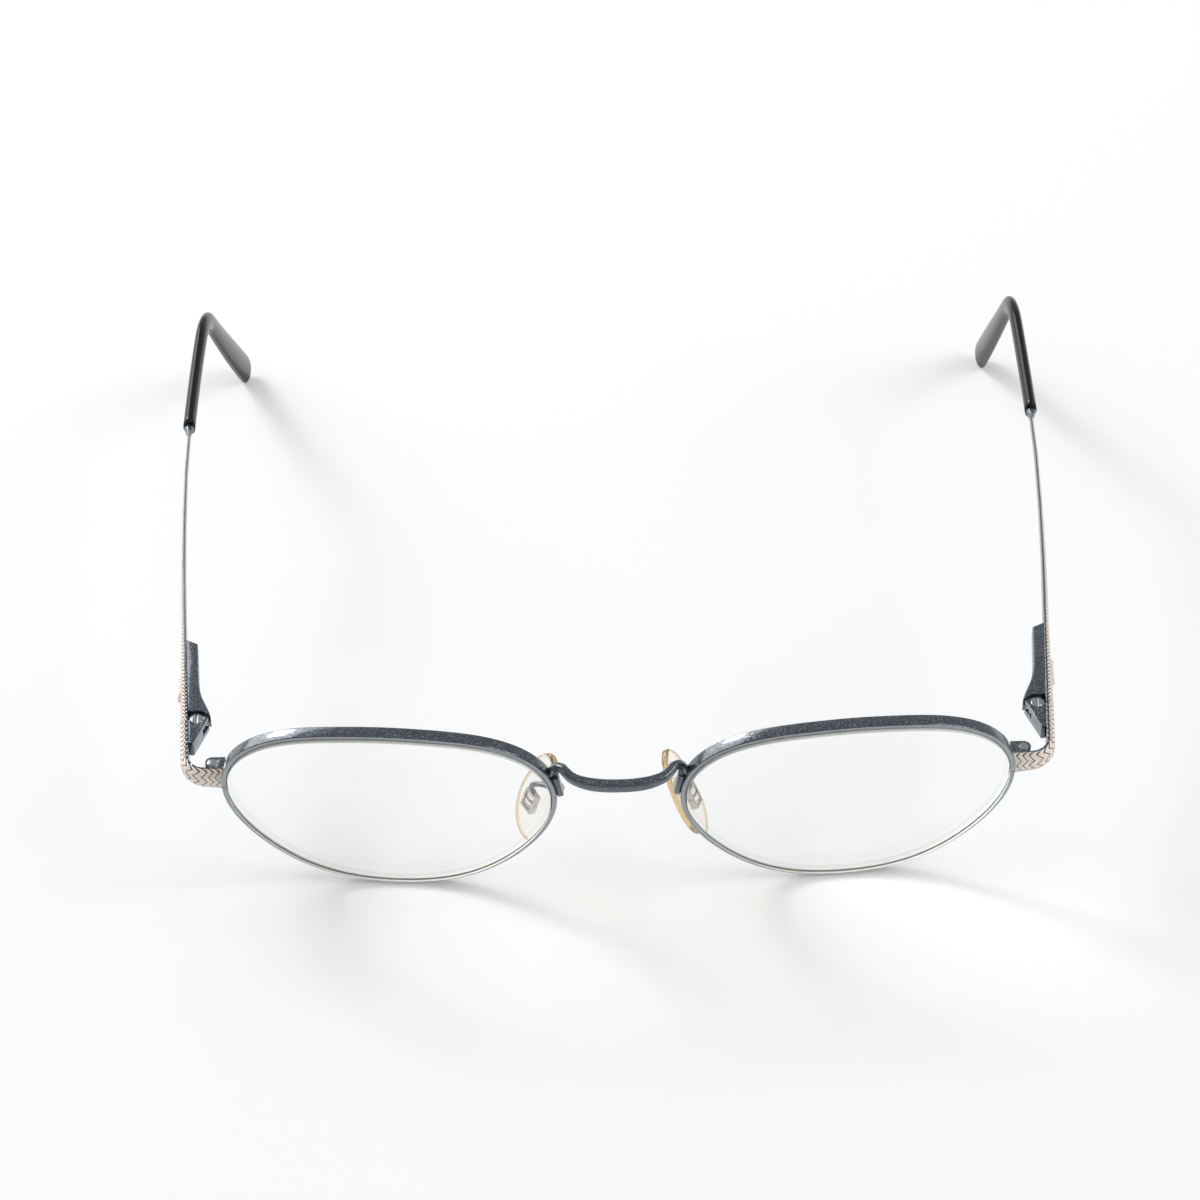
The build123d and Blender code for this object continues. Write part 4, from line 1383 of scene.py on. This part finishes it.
@dataclass
class Studio:
    """Pale table, soft lamps and the camera at the picture's angle."""

    table_size: float = 6.0
    camera_place: tuple[float, float, float] = (-0.00149, -0.463428, 0.357887)
    right: tuple[float, float, float] = (0.99979, -0.01135, -0.01685)
    up: tuple[float, float, float] = (0.02028, 0.60718, 0.79431)
    focal: float = 108.0
    sensor: float = 36.0
    world_strength: float = 0.55
    seen_strength: float = 0.95
    passed_share: float = 0.95
    lamps: tuple = (
        ("key", (-1.2, 0.95, 0.93), 1.5, 15.0),
        ("window", (-0.95, 0.85, 0.98), 0.4, 8.0),
        ("fill", (1.4, -0.4, 1.2), 1.0, 11.0),
    )

    def table(self) -> None:
        """Large flat sheet that never ends in view."""
        bm = bmesh.new()
        bmesh.ops.create_grid(bm, x_segments=12, y_segments=12, size=self.table_size / 2)
        mesh = bpy.data.meshes.new("table_top")
        bm.to_mesh(mesh)
        bm.free()
        mesh.materials.append(TableTop().build())
        in_scene("table_top", mesh)

    def lamp(self, name: str, place: tuple, size: float, power: float) -> None:
        """Add a square soft lamp that faces the glasses and throws no bright patches through the lenses.

        Args:
            name: What the lamp is.
            place: Where it stands, in metres.
            size: Length of its side in metres.
            power: Strength in watts.
        """
        light = bpy.data.lights.new(name, "AREA")
        light.shape = "SQUARE"
        light.size = size
        light.energy = power
        obj = in_scene(name, light)
        obj.location = place
        obj.rotation_euler = (-Vector(place)).to_track_quat("-Z", "Y").to_euler()
        obj.visible_transmission = False

    def count(self, tree: bpy.types.NodeTree, operation: str, *values: object) -> bpy.types.NodeSocket:
        """Work out a value from two others.

        Args:
            tree: Nodes of the world.
            operation: Name of the sum.
            values: Two numbers or sockets.

        Returns:
            The result's socket.
        """
        node = tree.nodes.new("ShaderNodeMath")
        node.operation = operation
        for value, slot in zip(values, node.inputs):
            if isinstance(value, bpy.types.NodeSocket):
                tree.links.new(value, slot)
            else:
                slot.default_value = value
        return node.outputs[0]

    def world(self) -> None:
        """Even pale surroundings, plain white to the eye.

        Light that the table gathers through the lenses is left out, as their shadows already let it pass.
        """
        world = bpy.data.worlds.new("studio_world")
        bpy.context.scene.world = world
        world.use_nodes = True
        tree = world.node_tree
        tree.nodes.clear()
        ray = tree.nodes.new("ShaderNodeLightPath")
        seen = tree.nodes.new("ShaderNodeMapRange")
        seen.inputs["To Min"].default_value = self.world_strength
        seen.inputs["To Max"].default_value = self.seen_strength
        back = tree.nodes.new("ShaderNodeBackground")
        out = tree.nodes.new("ShaderNodeOutputWorld")
        through = self.count(tree, "MINIMUM", ray.outputs["Diffuse Depth"], 1)
        through = self.count(tree, "MULTIPLY", through, ray.outputs["Is Transmission Ray"])
        through = self.count(tree, "MULTIPLY", through, self.passed_share)
        kept = self.count(tree, "SUBTRACT", 1, through)
        tree.links.new(ray.outputs["Is Camera Ray"], seen.inputs["Value"])
        tree.links.new(self.count(tree, "MULTIPLY", seen.outputs[0], kept), back.inputs["Strength"])
        tree.links.new(back.outputs[0], out.inputs["Surface"])

    def camera(self) -> None:
        """Camera at the picture's place, with a longish lens."""
        data = bpy.data.cameras.new("camera")
        data.lens = self.focal
        data.sensor_width = self.sensor
        data.clip_start = 0.01
        obj = in_scene("camera", data)
        x_axis = Vector(self.right).normalized()
        y_axis = Vector(self.up).normalized()
        z_axis = x_axis.cross(y_axis).normalized()
        turn = Matrix((x_axis, z_axis.cross(x_axis), z_axis)).transposed().to_4x4()
        obj.matrix_world = Matrix.Translation(self.camera_place) @ turn
        bpy.context.scene.camera = obj

    def build(self) -> None:
        """Set the stage."""
        bpy.context.scene.view_settings.view_transform = "Standard"
        self.table()
        self.world()
        for lamp in self.lamps:
            self.lamp(*lamp)
        self.camera()


def main() -> None:
    """Build the glasses and their stage."""
    finishes = Finishes()
    stance = Stance()
    front = Front(stance, finishes)
    front.build()
    EndPieces(stance, finishes, front).build()
    Hinges(finishes).build()
    Temples(stance, finishes).build()
    Pads(stance, finishes).build()
    Studio().build()


if __name__ == "__main__":
    main()
